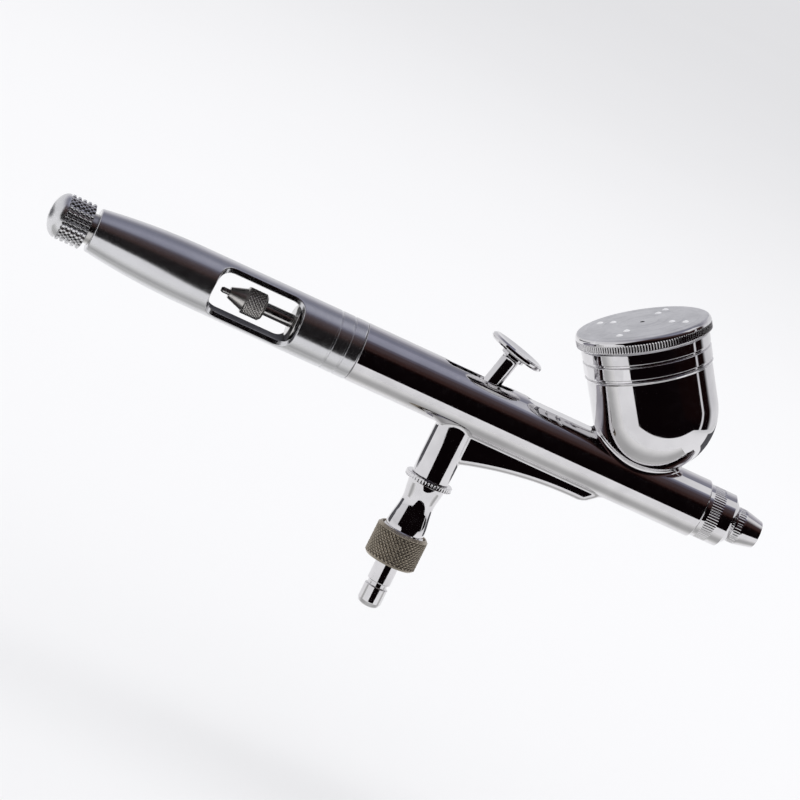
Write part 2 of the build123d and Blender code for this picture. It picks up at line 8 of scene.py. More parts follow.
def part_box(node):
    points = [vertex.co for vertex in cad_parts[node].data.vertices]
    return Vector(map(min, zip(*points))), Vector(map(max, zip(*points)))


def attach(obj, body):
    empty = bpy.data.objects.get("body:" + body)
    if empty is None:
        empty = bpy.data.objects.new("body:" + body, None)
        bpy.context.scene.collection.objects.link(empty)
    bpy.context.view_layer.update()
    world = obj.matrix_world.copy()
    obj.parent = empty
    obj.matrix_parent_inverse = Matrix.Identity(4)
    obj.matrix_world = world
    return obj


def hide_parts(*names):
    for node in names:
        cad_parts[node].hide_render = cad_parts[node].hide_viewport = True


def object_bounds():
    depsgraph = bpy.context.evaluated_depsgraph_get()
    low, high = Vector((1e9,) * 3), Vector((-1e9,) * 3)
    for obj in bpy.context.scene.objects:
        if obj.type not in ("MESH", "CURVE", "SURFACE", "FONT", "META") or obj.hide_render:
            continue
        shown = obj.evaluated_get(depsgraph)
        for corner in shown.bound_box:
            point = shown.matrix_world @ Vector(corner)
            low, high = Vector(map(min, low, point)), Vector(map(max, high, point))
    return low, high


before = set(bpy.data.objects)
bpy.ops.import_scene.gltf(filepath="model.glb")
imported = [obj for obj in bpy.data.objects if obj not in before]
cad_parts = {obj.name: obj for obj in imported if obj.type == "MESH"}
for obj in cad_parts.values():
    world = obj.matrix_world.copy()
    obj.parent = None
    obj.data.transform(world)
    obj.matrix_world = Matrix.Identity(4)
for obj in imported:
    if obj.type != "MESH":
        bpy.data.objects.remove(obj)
cad_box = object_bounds()

# The pieces are worked out in millimetres in the gun's own frame: +X along the needle towards
# the nose, +Z up, the origin where the needle's axis crosses the air valve's.
MM = 0.001
NEEDLE_AXIS_Z = (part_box("needle")[0].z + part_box("needle")[1].z) / 2
VALVE_AXIS_X = (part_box("valve_body")[0].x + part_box("valve_body")[1].x) / 2
GUN = Matrix.Translation((VALVE_AXIS_X, 0, NEEDLE_AXIS_Z)) @ Matrix.Scale(MM, 4)

CORNER = 0.12           # edge rounding where a section names none
LEAST_CORNER = 0.02     # edge rounding where a section asks for a sharp edge
CORNER_STEPS = 4
RELIEF_STEP = 0.02      # distance over which the slope of a relief is taken
FIELD_STEP = 0.004      # and of a solid field
DRAWN_ROUNDS = 5        # times that a carved mesh's vertices are drawn onto the field's skin
MOST_STRAY = 0.5        # a vertex drawn further than this goes back to its cell


def extent(node):
    """Lowest and highest corner of a CAD node in the gun's frame, in millimetres."""
    low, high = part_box(node)
    back = GUN.inverted()
    return back @ low, back @ high


# ---------------------------------------------------------------- placing

def upright(origin, lean):
    """Frame whose Z leans from the gun's Z towards +X by lean degrees."""
    return GUN @ Matrix.Translation(origin) @ Matrix.Rotation(math.radians(lean), 4, "Y")


ALONG_NEEDLE = GUN @ Matrix(((0, 0, 1, 0), (0, 1, 0, 0), (-1, 0, 0, 0), (0, 0, 0, 1)))
DOWN_VALVE = GUN

CUP_LEAN = 35.0
CUP_FOOT_X = 45.9
CUP_R = 12.9
CUP_WALL = 0.9
CUP_CENTRE_H = 18.2
CUP_RIM_H = 33.4
CUP_RIM_R = 13.25
CUP_BAND = 6.5          # height of the thicker band under the rim
CUP_GROOVES = (6.0, 2.9)
CUP_PLACE = upright((CUP_FOOT_X, 0, 0), -CUP_LEAN)

TRIGGER_LEAN = 13.0
PIVOT_Z = -5.6
TRIGGER_PLACE = upright((0, 0, PIVOT_Z), TRIGGER_LEAN)


# ---------------------------------------------------------------- meshing tools

def add_object(name, data):
    """New object in the scene."""
    made = bpy.data.objects.new(name, data)
    bpy.context.scene.collection.objects.link(made)
    return made


def new_piece(name, points, faces, normals, place, body, material, stands_for):
    """Mesh object with exact normals, riding on a body in place of CAD nodes."""
    matrix = np.array(place)
    world = points @ matrix[:3, :3].T + matrix[:3, 3]
    turned_normals = normals @ matrix[:3, :3].T
    turned_normals /= np.linalg.norm(turned_normals, axis=1, keepdims=True)
    mesh = bpy.data.meshes.new(name)
    mesh.from_pydata(world.tolist(), [], faces)
    mesh.polygons.foreach_set("use_smooth", np.ones(len(faces), bool))
    mesh.normals_split_custom_set_from_vertices(turned_normals.tolist())
    mesh.materials.append(MATERIALS[material])
    piece = add_object(name, mesh)
    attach(piece, body)
    if stands_for:
        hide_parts(stands_for)
    return piece


def refinish(piece, material, chosen):
    """Second finish on the faces whose (centre in the gun's frame, normal) chosen() picks."""
    piece.data.materials.append(MATERIALS[material])
    back = GUN.inverted()
    for face in piece.data.polygons:
        if chosen(back @ face.center, face.normal):
            face.material_index = len(piece.data.materials) - 1


def unit(vector):
    return vector / max(np.linalg.norm(vector), 1e-12)


def left(vector):
    return np.array((-vector[1], vector[0]))


def arc(centre, radius, start, end, steps):
    """Round stretch of a section, about (along, radius) centre, angles in degrees from +along."""
    stations = []
    for angle in np.radians(np.linspace(start, end, steps + 1)):
        ca, cr = math.cos(angle), math.sin(angle)
        stations.append((centre[0] + radius * ca, centre[1] + radius * cr, ca, cr))
    return stations


def hollow_arc(centre, radius, start, end, steps):
    """Round stretch seen from inside, so its normals point at the centre."""
    return [(a, r, -na, -nr) for a, r, na, nr in arc(centre, radius, start, end, steps)]


def trace(curve, steps):
    """Stations of a smooth curve, a function of 0 to 1, with its own normals."""
    stations = []
    for t in np.linspace(0, 1, steps + 1):
        tangent = unit(np.array(curve(t + 1e-4)) - np.array(curve(t - 1e-4)))
        stations.append((*curve(t), *left(tangent)))
    return stations


def rule(start, end, step):
    """Extra stations on a straight stretch, for a relief to follow."""
    count = max(1, round(math.dist(start, end) / step))
    return [tuple(start + (np.array(end) - start) * i / count) + (0.0,) for i in range(count + 1)]


def section(points, closed):
    """Stations (along, radius, normal along, normal radius) of a section with rounded corners.

    A point is (along, radius), (along, radius, corner radius), or (along, radius, normal along,
    normal radius). The section runs clockwise: outer skin towards +along, bore back again."""
    stations = []
    count = len(points)
    for i, point in enumerate(points):
        if len(point) == 4:
            stations.append(point)
            continue
        here = np.array(point[:2])
        ends = not closed and i in (0, count - 1)
        before = points[i - 1] if i or closed else point
        after = points[(i + 1) % count] if i < count - 1 or closed else point
        arrive = unit(here - np.array(before[:2]))
        leave = unit(np.array(after[:2]) - here)
        if ends:
            normal = left(leave if i == 0 else arrive)
            stations.append((*here, *normal))
            continue
        turn = math.atan2(arrive[0] * leave[1] - arrive[1] * leave[0], float(arrive @ leave))
        if abs(turn) < 1e-4:
            stations.append((*here, *left(leave)))
            continue
        size = max(point[2], LEAST_CORNER) if len(point) > 2 else CORNER
        room = 0.48 * min(math.dist(here, before[:2]), math.dist(here, after[:2]))
        setback = min(size * math.tan(abs(turn) / 2), room)
        size = setback / math.tan(abs(turn) / 2)
        side = 1 if turn < 0 else -1
        centre = here - arrive * setback - left(arrive) * size * side
        start = math.atan2(*left(arrive)[::-1])
        for step in range(CORNER_STEPS + 1):
            angle = start + turn * step / CORNER_STEPS
            normal = np.array((math.cos(angle), math.sin(angle)))
            stations.append((*(centre + normal * size * side), *normal))
    apart = [math.dist(a[:2], b[:2]) > 1e-6 for a, b in zip(stations[1:], stations)]
    return [stations[0]] + [station for station, keep in zip(stations[1:], apart) if keep]


def turned(name, points, place, body, material, stands_for="", closed=True, around=128,
           relief=None):
    """Lathe-turned piece. relief(along, angle) is how far its skin moves outwards."""
    stations = np.array(section(points, closed))
    angles = np.linspace(0, 2 * math.pi, around, endpoint=False)
    along, radius, n_along, n_radius = (stations[:, [k]] for k in range(4))
    angle = angles[None, :]
    n_turn = np.zeros((len(stations), around))
    lift = np.zeros((len(stations), around))
    if relief:
        step = RELIEF_STEP
        turn = step / max(radius.max(), 1)
        skin = np.maximum(n_radius, 0)
        lift = relief(along, angle) * skin
        slope = (relief(along + step, angle) - relief(along - step, angle)) / (2 * step)
        twist = (relief(along, angle + turn) - relief(along, angle - turn)) / (2 * turn)
        n_turn = -skin * twist / np.maximum(radius, 0.5)
        n_along = n_along - skin * slope
    r = radius + lift
    cos, sin = np.cos(angle), np.sin(angle)
    points = np.stack(np.broadcast_arrays(r * cos, r * sin, along + 0 * r), -1)
    normals = np.stack(np.broadcast_arrays(
        n_radius * cos - n_turn * sin, n_radius * sin + n_turn * cos, n_along + 0 * r), -1)
    index = np.arange(len(stations) * around).reshape(len(stations), around)
    for row in (0, -1):
        if not closed and stations[row, 1] < 1e-6:
            index[row] = index[row, 0]
    after = np.roll(index, -1, 0)
    if not closed:
        index, after = index[:-1], after[:-1]
    quads = np.stack((index, np.roll(index, -1, 1), np.roll(after, -1, 1), after), -1)
    faces = []
    for quad in quads.reshape(-1, 4).tolist():
        face = list(dict.fromkeys(quad))
        if len(face) > 2:
            faces.append(face)
    used, faces = compact(faces)
    return new_piece(name, points.reshape(-1, 3)[used], faces, normals.reshape(-1, 3)[used],
                     place, body, material, stands_for)


def compact(faces):
    """The vertices that the faces use, and the faces renumbered to them."""
    used = sorted({v for face in faces for v in face})
    number = {v: i for i, v in enumerate(used)}
    return used, [[number[v] for v in face] for face in faces]


# ---------------------------------------------------------------- solid fields
# A field is the distance to a solid's skin, negative inside.

def slab(value, low, high):
    """What lies between two parallel planes."""
    return np.abs(value - (low + high) / 2) - (high - low) / 2


def meet(a, b, rounding):
    """What two solids share, with its edge rounded."""
    inner = np.hypot(np.maximum(a + rounding, 0), np.maximum(b + rounding, 0))
    return np.minimum(np.maximum(a, b), -rounding) + inner


def join(a, b, fillet):
    """Two solids as one, with a fillet between them."""
    inner = np.hypot(np.maximum(fillet - a, 0), np.maximum(fillet - b, 0))
    return np.maximum(np.minimum(a, b), fillet) - inner


def cut(a, b, rounding):
    """One solid less another, with its edge rounded."""
    return meet(a, -b, rounding)


def capsule(x, y, low, high, radius):
    """Slot outline with round ends, along x."""
    middle, half = (low + high) / 2, (high - low) / 2 - radius
    return np.hypot(np.maximum(np.abs(x - middle) - half, 0), y) - radius


def grid_lines(*stretches):
    """Grid lines from (start, end, spacing) stretches that follow each other."""
    lines = []
    for start, end, spacing in stretches:
        count = max(1, round((end - start) / spacing))
        lines.append(np.linspace(start, end, count, endpoint=False))
    lines.append([stretches[-1][1]])
    return np.concatenate(lines)


def gradient(field, p):
    """Unit normals of a field's skin at points p."""
    parts = []
    for k in range(3):
        shift = np.zeros(3)
        shift[k] = FIELD_STEP
        parts.append((field(*(p + shift).T) - field(*(p - shift).T)) / (2 * FIELD_STEP))
    g = np.stack(parts, -1)
    return g / np.maximum(np.linalg.norm(g, axis=1, keepdims=True), 1e-9)


def carved(name, field, lines, place, body, material, stands_for, ring=False):
    """Mesh of a field's skin, one vertex per grid cell it crosses, drawn onto the skin.

    With ring, the grid is (along x, angle, radius) about the needle's axis."""
    def spread(u, v, w):
        return (u, w * np.sin(v), w * np.cos(v)) if ring else (u, v, w)

    lines = [np.asarray(line, float) for line in lines]
    if ring:
        lines[1] = np.append(lines[1], lines[1][0] + 2 * math.pi)
    value = field(*spread(*np.meshgrid(*lines, indexing="ij")))
    cells = [len(line) - 1 for line in lines]
    corners, hits = [], []
    for axis in range(3):
        low = np.take(value, range(len(lines[axis]) - 1), axis)
        high = np.take(value, range(1, len(lines[axis])), axis)
        crossing = (low < 0) != (high < 0)
        spot = np.nonzero(crossing)
        keep = np.ones(len(spot[0]), bool)
        for other in range(3):
            if other == axis:
                continue
            if ring and other == 1:
                keep &= spot[other] < cells[1]
            else:
                keep &= (spot[other] > 0) & (spot[other] < cells[other])
        spot = [s[keep] for s in spot]
        a, b = low[tuple(spot)], high[tuple(spot)]
        where = [lines[k][spot[k]] for k in range(3)]
        step = lines[axis][spot[axis] + 1] - lines[axis][spot[axis]]
        where[axis] = where[axis] + a / (a - b) * step
        first, second = (axis + 1) % 3, (axis + 2) % 3
        quad = []
        for df, ds in ((-1, -1), (0, -1), (0, 0), (-1, 0)):
            cell = list(spot)
            cell[first] = spot[first] + df
            cell[second] = spot[second] + ds
            turned_v = where[1] + 2 * math.pi * (cell[1] < 0) if ring else where[1]
            cell[1] = cell[1] % cells[1]
            ident = (cell[0] * cells[1] + cell[1]) * cells[2] + cell[2]
            hits.append(np.stack((ident, where[0], turned_v, where[2]), -1))
            quad.append(ident)
        quad = np.stack(quad, -1)
        corners.append(np.where((a < 0)[:, None], quad, quad[:, ::-1]))
    hits = np.concatenate(hits)
    ids, number = np.unique(hits[:, 0].astype(np.int64), return_inverse=True)
    share = np.bincount(number)
    grid = [np.bincount(number, hits[:, k]) / share for k in (1, 2, 3)]
    points = np.stack(spread(*grid), -1)
    start = points.copy()
    for _ in range(DRAWN_ROUNDS):
        points = points - field(*points.T)[:, None] * gradient(field, points)
    strayed = np.linalg.norm(points - start, axis=1) > MOST_STRAY
    points[strayed] = start[strayed]
    faces = np.searchsorted(ids, np.concatenate(corners)).tolist()
    return new_piece(name, points, faces, gradient(field, points), place, body, material,
                     stands_for)


# ---------------------------------------------------------------- reliefs

def fade(value, low, high, edge):
    """1 between low and high, falling to 0 over edge at each end."""
    return np.clip(np.minimum(value - low, high - value) / edge, 0, 1)


def saw(value):
    """Triangle wave: 0 at whole numbers, 1 half-way."""
    return 1 - np.abs(2 * (value % 1) - 1)


def straight_knurl(low, high, teeth, depth):
    def relief(along, angle):
        wave = np.clip(1.6 * saw(angle * teeth / (2 * math.pi)), 0, 1)
        return -depth * (1 - wave) * fade(along, low, high, 0.2)
    return relief


def diamond_knurl(low, high, teeth, pitch, depth):
    def relief(along, angle):
        turn = angle * teeth / (2 * math.pi)
        ridge = np.minimum(saw(turn + along / pitch), saw(turn - along / pitch))
        return -depth * (1 - np.clip(1.7 * ridge, 0, 1)) * fade(along, low, high, 0.25)
    return relief


# ---------------------------------------------------------------- materials

def link(tree, output, socket):
    """Link a node's (node, output) to a socket."""
    tree.links.new(output[0].outputs[output[1]], socket)


def node(tree, kind, **inputs):
    """Shader node with its inputs set: a value, or another node's (node, output) to link."""
    made = tree.nodes.new(kind)
    for key, value in inputs.items():
        socket = made.inputs[key]
        if isinstance(value, tuple) and hasattr(value[0], "outputs"):
            link(tree, value, socket)
        else:
            socket.default_value = value
    return made


def maths(tree, operation, a, b=0.0, c=0.0):
    made = tree.nodes.new("ShaderNodeMath")
    made.operation = operation
    for socket, value in zip(made.inputs, (a, b, c)):
        if isinstance(value, tuple):
            link(tree, value, socket)
        else:
            socket.default_value = value
    return made, 0


def noise(tree, vector, scale, detail=3.0, roughness=0.55):
    made = node(tree, "ShaderNodeTexNoise", Vector=vector, Scale=scale, Detail=detail,
                Roughness=roughness)
    return made, "Fac"


def remap(tree, value, low, high, out_low=0.0, out_high=1.0):
    """Smooth step from out_low to out_high as a value goes from low to high."""
    ends = {"From Min": low, "From Max": high, "To Min": out_low, "To Max": out_high}
    made = node(tree, "ShaderNodeMapRange", Value=value, **ends)
    made.interpolation_type = "SMOOTHSTEP"
    return made, 0


def mix_colour(tree, factor, a, b):
    """Colour from a to b by a factor. Each is a plain colour or a node's output."""
    made = tree.nodes.new("ShaderNodeMix")
    made.data_type = "RGBA"
    link(tree, factor, made.inputs[0])
    for socket, value in ((made.inputs[6], a), (made.inputs[7], b)):
        if isinstance(value[0], bpy.types.Node):
            link(tree, value, socket)
        else:
            socket.default_value = (*value, 1)
    return made, 2


CLOUD_SCALE = 160
SMEAR_SCALE = 900
PIT_SCALE = 9000
WORN_EDGE = (0.53, 0.62)        # pointiness where an edge starts to be worn, and is fully worn
# pointiness where the colour starts to darken towards the hollow colour, and where it is fully
# darkened
DARK_HOLLOW = (0.49, 0.44)


def finish_material(name, colour, worn, metallic, rough_low, rough_high, grain=0.0,
                    grain_stretch=(1, 1, 1), bump=0.02, hollow_colour=None):
    """Procedural finish: clouded colour, uneven roughness, directional grain and worn edges;
    with a hollow colour, the hollows are darker, towards that colour.
    """
    material = bpy.data.materials.new(name)
    material.use_nodes = True
    material.diffuse_color = (*colour, 1)
    tree = material.node_tree
    shader = tree.nodes["Principled BSDF"]
    place = node(tree, "ShaderNodeTexCoord")
    where = (place, "Object")
    mapped = node(tree, "ShaderNodeMapping", Vector=where, Scale=grain_stretch)
    clouds = noise(tree, where, CLOUD_SCALE, 4)
    smears = noise(tree, where, SMEAR_SCALE, 2)
    lines = noise(tree, (mapped, 0), 1, 6, 0.7)
    pits = noise(tree, where, PIT_SCALE, 2)
    edge = remap(tree, (node(tree, "ShaderNodeNewGeometry"), "Pointiness"), *WORN_EDGE)
    base = mix_colour(tree, remap(tree, clouds, 0.35, 0.7), colour, worn)
    # darker in the hollows, towards the hollow colour
    if hollow_colour:
        hollow = remap(tree, (node(tree, "ShaderNodeNewGeometry"), "Pointiness"), *DARK_HOLLOW)
        base = mix_colour(tree, hollow, base, hollow_colour)
    bright = tuple(min(1.0, 1.25 * c + 0.03) for c in worn)
    base = mix_colour(tree, maths(tree, "MULTIPLY", edge, 0.5), base, bright)
    link(tree, base, shader.inputs["Base Color"])
    shader.inputs["Metallic"].default_value = metallic
    rough = remap(tree, smears, 0.3, 0.75, rough_low, rough_high)
    rough = maths(tree, "MULTIPLY_ADD", lines, grain, rough)
    link(tree, rough, shader.inputs["Roughness"])
    height = maths(tree, "MULTIPLY_ADD", lines, 1 + 6 * grain, pits)
    relief = node(tree, "ShaderNodeBump", Strength=bump, Distance=0.00002, Height=height)
    link(tree, (relief, 0), shader.inputs["Normal"])
    return material


ROUND_NEEDLE = (6000, 60, 60)      # stretch of the grain that turning about the needle leaves
EVEN = (2500, 2500, 2500)

MATERIALS = {
    "chrome": finish_material("chrome", (0.74, 0.73, 0.74), (0.66, 0.65, 0.66), 1.0, 0.015, 0.07,
                              0.01, EVEN, 0.015),
    "satin": finish_material("satin_nickel", (0.70, 0.70, 0.715), (0.66, 0.66, 0.675), 1.0, 0.15,
                             0.18, 0.05, ROUND_NEEDLE, 0.02),
    "grip": finish_material("knob_nickel", (0.74, 0.74, 0.75), (0.66, 0.66, 0.67), 1.0, 0.2,
                            0.27, 0.05, EVEN, 0.03, (0.14, 0.135, 0.13)),
    # dark colour: painted shade inside the handle's bore near the windows
    "bore": finish_material("bore_painted_shade", (0.17, 0.17, 0.175), (0.11, 0.11, 0.115), 1.0, 0.3,
                            0.42, 0.08, ROUND_NEEDLE, 0.05),
    # window flats: milled roughness, with their darker colour as painted shade
    "milled": finish_material("milled_flat_painted_shade", (0.46, 0.46, 0.47), (0.38, 0.38, 0.39), 1.0, 0.1,
                              0.16, 0.04, ROUND_NEEDLE, 0.03),
    "lid": finish_material("satin_lid", (0.60, 0.60, 0.62), (0.50, 0.50, 0.52), 1.0, 0.24, 0.32,
                           0.1, EVEN, 0.04, (0.12, 0.12, 0.12)),
    # near-white non-metal: painted glints on the lid's raised marks
    "mark": finish_material("lid_mark", (0.86, 0.86, 0.87), (0.78, 0.78, 0.80), 0.0, 0.3, 0.4,
                            0.05, EVEN, 0.04),
    "knurled": finish_material("knurled_steel", (0.62, 0.60, 0.58), (0.52, 0.50, 0.48), 1.0,
                               0.26, 0.34, 0.05, EVEN, 0.04, (0.10, 0.09, 0.085)),
    "collar": finish_material("collar_nickel", (0.42, 0.37, 0.30), (0.33, 0.29, 0.23), 1.0,
                              0.25, 0.36, 0.08, EVEN, 0.05, (0.05, 0.04, 0.03)),
    "brass": finish_material("turned_brass", (0.72, 0.52, 0.26), (0.60, 0.42, 0.20), 1.0,
                             0.15, 0.3, 0.1, ROUND_NEEDLE, 0.1),
    "works": finish_material("chromed_works", (0.62, 0.61, 0.60), (0.52, 0.51, 0.50), 1.0,
                             0.08, 0.2, 0.05, ROUND_NEEDLE, 0.05),
    "steel": finish_material("spring_steel", (0.50, 0.49, 0.48), (0.40, 0.39, 0.38), 1.0,
                             0.15, 0.3, 0.05, EVEN, 0.08),
    "ptfe": finish_material("ptfe_seal", (0.80, 0.79, 0.75), (0.70, 0.69, 0.64), 0.0,
                            0.35, 0.5, 0.05, EVEN, 0.08),
    "rubber": finish_material("seal_rubber", (0.03, 0.03, 0.03), (0.05, 0.05, 0.05), 0.0,
                              0.45, 0.65, 0.05, EVEN, 0.1),
}
SLOTS = {"chrome": "chrome", "collar": "collar", "works": "chromed_works",
         **dict.fromkeys(("satin", "milled", "grip", "bore", "lid", "mark", "knurled"), "satin")}


# ---------------------------------------------------------------- body

body_low, body_high = extent("body")
cap_low, cap_high = extent("nozzle_cap")
BARREL_R = body_high.y
BARREL_REAR = body_low.x
SPIGOT_END = body_high.x
BARREL_FRONT = cap_low.x
BOSS_BOTTOM = body_low.z
BOSS_R = 4.05
SPIGOT_R = 4.5          # front end, inside the nozzle cap
SPIGOT_FROM = 50.0
WORKS_BORE_R = 4.5
CUP_DRAIN_R = 2.1
PISTON_BORE_R = 3.0
SHAFT_BORE_R = 2.05
VALVE_THREAD_DEPTH = 4.2
CUP_GAP = 0.02          # of the soldered seam
SOLDER_REACH = 1.7      # how far up the cup the solder goes from the barrel
REST_HALF_WIDTH = 2.3
REST_CORNERS = ((1.0, -13.3), (12.5, -10.2), (30.3, -8.75))
REST_FRONT = (34.5, -5.2)
SOLDER_FILLET = 1.1
SLOT = (-8.1, 7.5, 2.05)
FINGER_FLAT = (10.3, 30.0, 2.6)
FINGER_FLAT_Z = 5.6
NEEDLE_WAY = (
    (BARREL_REAR - 1, BARREL_REAR + 5.2, 5.2),
    (BARREL_REAR - 1, 13.0, WORKS_BORE_R),
    (10.0, 30.0, 2.3),
    (28.0, 32.5, 1.7),
    (30.0, 40.0, 0.8),
    (38.0, 55.0, 1.3),
    (SPIGOT_END - 5.5, SPIGOT_END + 1, 1.75),
)


def circle_through(a, b, c):
    """Centre and radius of the circle through three points."""
    (ax, ay), (bx, by), (cx, cy) = a, b, c
    twice = 2 * (ax * (by - cy) + bx * (cy - ay) + cx * (ay - by))
    sa, sb, sc = ax * ax + ay * ay, bx * bx + by * by, cx * cx + cy * cy
    x = (sa * (by - cy) + sb * (cy - ay) + sc * (ay - by)) / twice
    y = (sa * (cx - bx) + sb * (ax - cx) + sc * (bx - ax)) / twice
    return x, y, math.dist((x, y), a)


def finger_rest_field(x, y, z):
    """Web under the barrel: curved lower edge, sloping front, rounded along the bottom."""
    cx, cz, radius = circle_through(*REST_CORNERS)
    under = radius - np.hypot(x - cx, z - cz)
    tip, top = REST_CORNERS[2], REST_FRONT
    run = unit(np.array(top) - tip)
    front = (x - tip[0]) * run[1] - (z - tip[1]) * run[0]
    shape = meet(under, front, 1.0)
    shape = meet(shape, np.abs(y) - REST_HALF_WIDTH, 1.5)
    return meet(shape, slab(x, 0.0, 40.0), 0.1)


def cup_axes(x, y, z):
    """Distance along the cup's axis and from it."""
    lean = math.radians(CUP_LEAN)
    along = -(x - CUP_FOOT_X) * math.sin(lean) + z * math.cos(lean)
    across = (x - CUP_FOOT_X) * math.cos(lean) + z * math.sin(lean)
    return along, np.hypot(across, y)


def body_field(x, y, z):
    """Barrel with its valve boss, finger rest, cup seat, bores, trigger slot and finger flat."""
    round_x = np.hypot(y, z)
    round_z = np.hypot(x, y)
    along_cup, from_cup = cup_axes(x, y, z)
    ball = np.hypot(along_cup - CUP_CENTRE_H, from_cup)
    barrel = meet(round_x - BARREL_R, slab(x, BARREL_REAR, BARREL_FRONT), 0.25)
    boss = meet(round_z - BOSS_R, slab(z, BOSS_BOTTOM, -2.0), 0.15)
    rest = np.maximum(finger_rest_field(x, y, z), z + 2.0)
    solid = join(join(barrel, rest, 0.45), boss, 0.4)
    solder = np.maximum(ball - CUP_R - CUP_GAP, round_x - BARREL_R - SOLDER_REACH)
    solid = join(solid, solder, SOLDER_FILLET)
    spigot = meet(round_x - SPIGOT_R, slab(x, SPIGOT_FROM, SPIGOT_END), 0.1)
    solid = np.minimum(solid, spigot)
    ways = np.full_like(x, 1e3)
    for low, high, radius in NEEDLE_WAY:
        ways = np.minimum(ways, np.maximum(round_x - radius, slab(x, low, high)))
    drain = np.maximum(from_cup - CUP_DRAIN_R, slab(along_cup, 0.0, 8.0))
    piston = np.maximum(round_z - PISTON_BORE_R, slab(z, -7.8, -3.0))
    shaft = np.maximum(round_z - SHAFT_BORE_R, slab(z, BOSS_BOTTOM - 1, -6.8))
    thread_top = BOSS_BOTTOM + VALVE_THREAD_DEPTH
    thread = np.maximum(round_z - PISTON_BORE_R, slab(z, BOSS_BOTTOM - 1, thread_top))
    for way in (drain, piston, shaft, thread):
        ways = np.minimum(ways, way)
    solid = cut(solid, ways, 0.1)
    slot = np.maximum(capsule(x, y, *SLOT), 1.0 - z)
    flat = np.maximum(capsule(x, y, *FINGER_FLAT), FINGER_FLAT_Z - z)
    solid = cut(solid, np.minimum(slot, flat), 0.15)
    return np.maximum(solid, CUP_R - 0.45 - ball)


def make_body():
    xs = grid_lines((-26.0, -24.9, 0.12), (-24.9, -20.6, 0.6), (-20.6, -19.8, 0.2),
                    (-19.8, -8.7, 0.8), (-8.7, -4.5, 0.18), (-4.5, 8.1, 0.22), (8.1, 9.9, 0.4),
                    (9.9, 13.3, 0.18), (13.3, 24.9, 0.4), (24.9, 36.0, 0.22), (36.0, 48.0, 0.3),
                    (48.0, 52.4, 0.5), (52.4, 53.6, 0.12), (53.6, 57.0, 0.6), (57.0, 58.0, 0.12))
    ys = grid_lines((-7.6, 7.6, 0.2))
    zs = grid_lines((-17.9, -16.9, 0.12), (-16.9, 5.1, 0.22), (5.1, 8.4, 0.16))
    return carved("barrel_body", body_field, (xs, ys, zs), GUN, "barrel", "chrome", "body")


# ---------------------------------------------------------------- handle

HANDLE_REAR = extent("handle")[0].x
HANDLE_FRONT = BARREL_REAR - 0.03
HANDLE_TAPER_X = -61.3
HANDLE_END_R = 4.6
HANDLE_BORE_R = 5.25
HANDLE_TUBE_R = 4.6     # bore of the front end, round the spring case
HANDLE_HOLE_R = 3.25    # hole at the rear, for the preset screw
HANDLE_SPIGOT_R = 5.18
HANDLE_SPIGOT_LENGTH = 4.9
GROOVE_DEPTH, GROOVE_HALF = 0.25, 0.2
HANDLE_GROOVES = (2.9, 5.8)
WINDOW = (-57.7, -38.7, 3.1)
WINDOW_FLAT_Y = 3.15


def handle_skin(x):
    """Radius of the handle: straight, then an arc that leaves it tangentially."""
    run, drop = HANDLE_TAPER_X - HANDLE_REAR, BARREL_R - HANDLE_END_R
    bend = (run * run + drop * drop) / (2 * drop)
    behind = np.clip(HANDLE_TAPER_X - x, 0, run + 2)
    return BARREL_R - bend + np.sqrt(bend * bend - behind * behind)


def handle_field(x, y, z):
    """Hollow handle with its grooves and the two windows, each with a flat side."""
    round_x = np.hypot(y, z)
    solid = meet(round_x - handle_skin(x), slab(x, HANDLE_REAR, HANDLE_FRONT), 0.3)
    spigot = slab(x, HANDLE_FRONT - 2, HANDLE_FRONT + HANDLE_SPIGOT_LENGTH)
    solid = np.minimum(solid, np.maximum(round_x - HANDLE_SPIGOT_R, spigot))
    bore = np.maximum(round_x - HANDLE_BORE_R, slab(x, -60.6, HANDLE_FRONT - 4))
    bore = np.minimum(bore, np.maximum(round_x - HANDLE_TUBE_R, slab(x, -32.0, -18.0)))
    bore = np.minimum(bore, np.maximum(round_x - HANDLE_HOLE_R, slab(x, HANDLE_REAR - 1, -59.0)))
    for depth in HANDLE_GROOVES:
        groove = np.abs(x - BARREL_REAR + depth) - GROOVE_HALF
        bore = np.minimum(bore, np.maximum(groove, BARREL_R - GROOVE_DEPTH - round_x))
    solid = cut(solid, bore, 0.08)
    window = capsule(x, np.abs(y) - WINDOW_FLAT_Y - WINDOW[2], *WINDOW)
    return cut(solid, window, 0.15)


def make_handle():
    xs = [(HANDLE_REAR - 0.5, HANDLE_REAR + 0.7, 0.1), (HANDLE_REAR + 0.7, -61.0, 0.9),
          (-61.0, -54.0, 0.16), (-54.0, -42.2, 0.6), (-42.2, -38.0, 0.16), (-38.0, -31.5, 0.7)]
    for depth in HANDLE_GROOVES[::-1]:
        groove = BARREL_REAR - depth
        xs += [(xs[-1][1], groove - 0.4, 0.4), (groove - 0.4, groove + 0.4, 0.05)]
    xs += [(xs[-1][1], HANDLE_FRONT - 0.5, 0.4), (HANDLE_FRONT - 0.5, HANDLE_FRONT + 0.2, 0.07),
           (HANDLE_FRONT + 0.2, -20.0, 0.5)]
    angles = np.linspace(0, 2 * math.pi, 216, endpoint=False)
    radii = grid_lines((2.6, 6.7, 0.11))
    handle = carved("handle_shell", handle_field, (grid_lines(*xs), angles, radii), GUN, "barrel",
                    "satin", "handle", ring=True)
    # window's flat sides get the darker colour of painted shade
    refinish(handle, "milled", lambda centre, normal: abs(normal.y) > 0.97
             and abs(abs(centre.y) - WINDOW_FLAT_Y) < 0.1)
    # bore near the windows gets the dark colour of painted shade
    refinish(handle, "bore", lambda centre, normal: -60.5 < centre.x < -34
             and math.hypot(centre.y, centre.z) < HANDLE_BORE_R + 0.05)


# ---------------------------------------------------------------- cup and lid

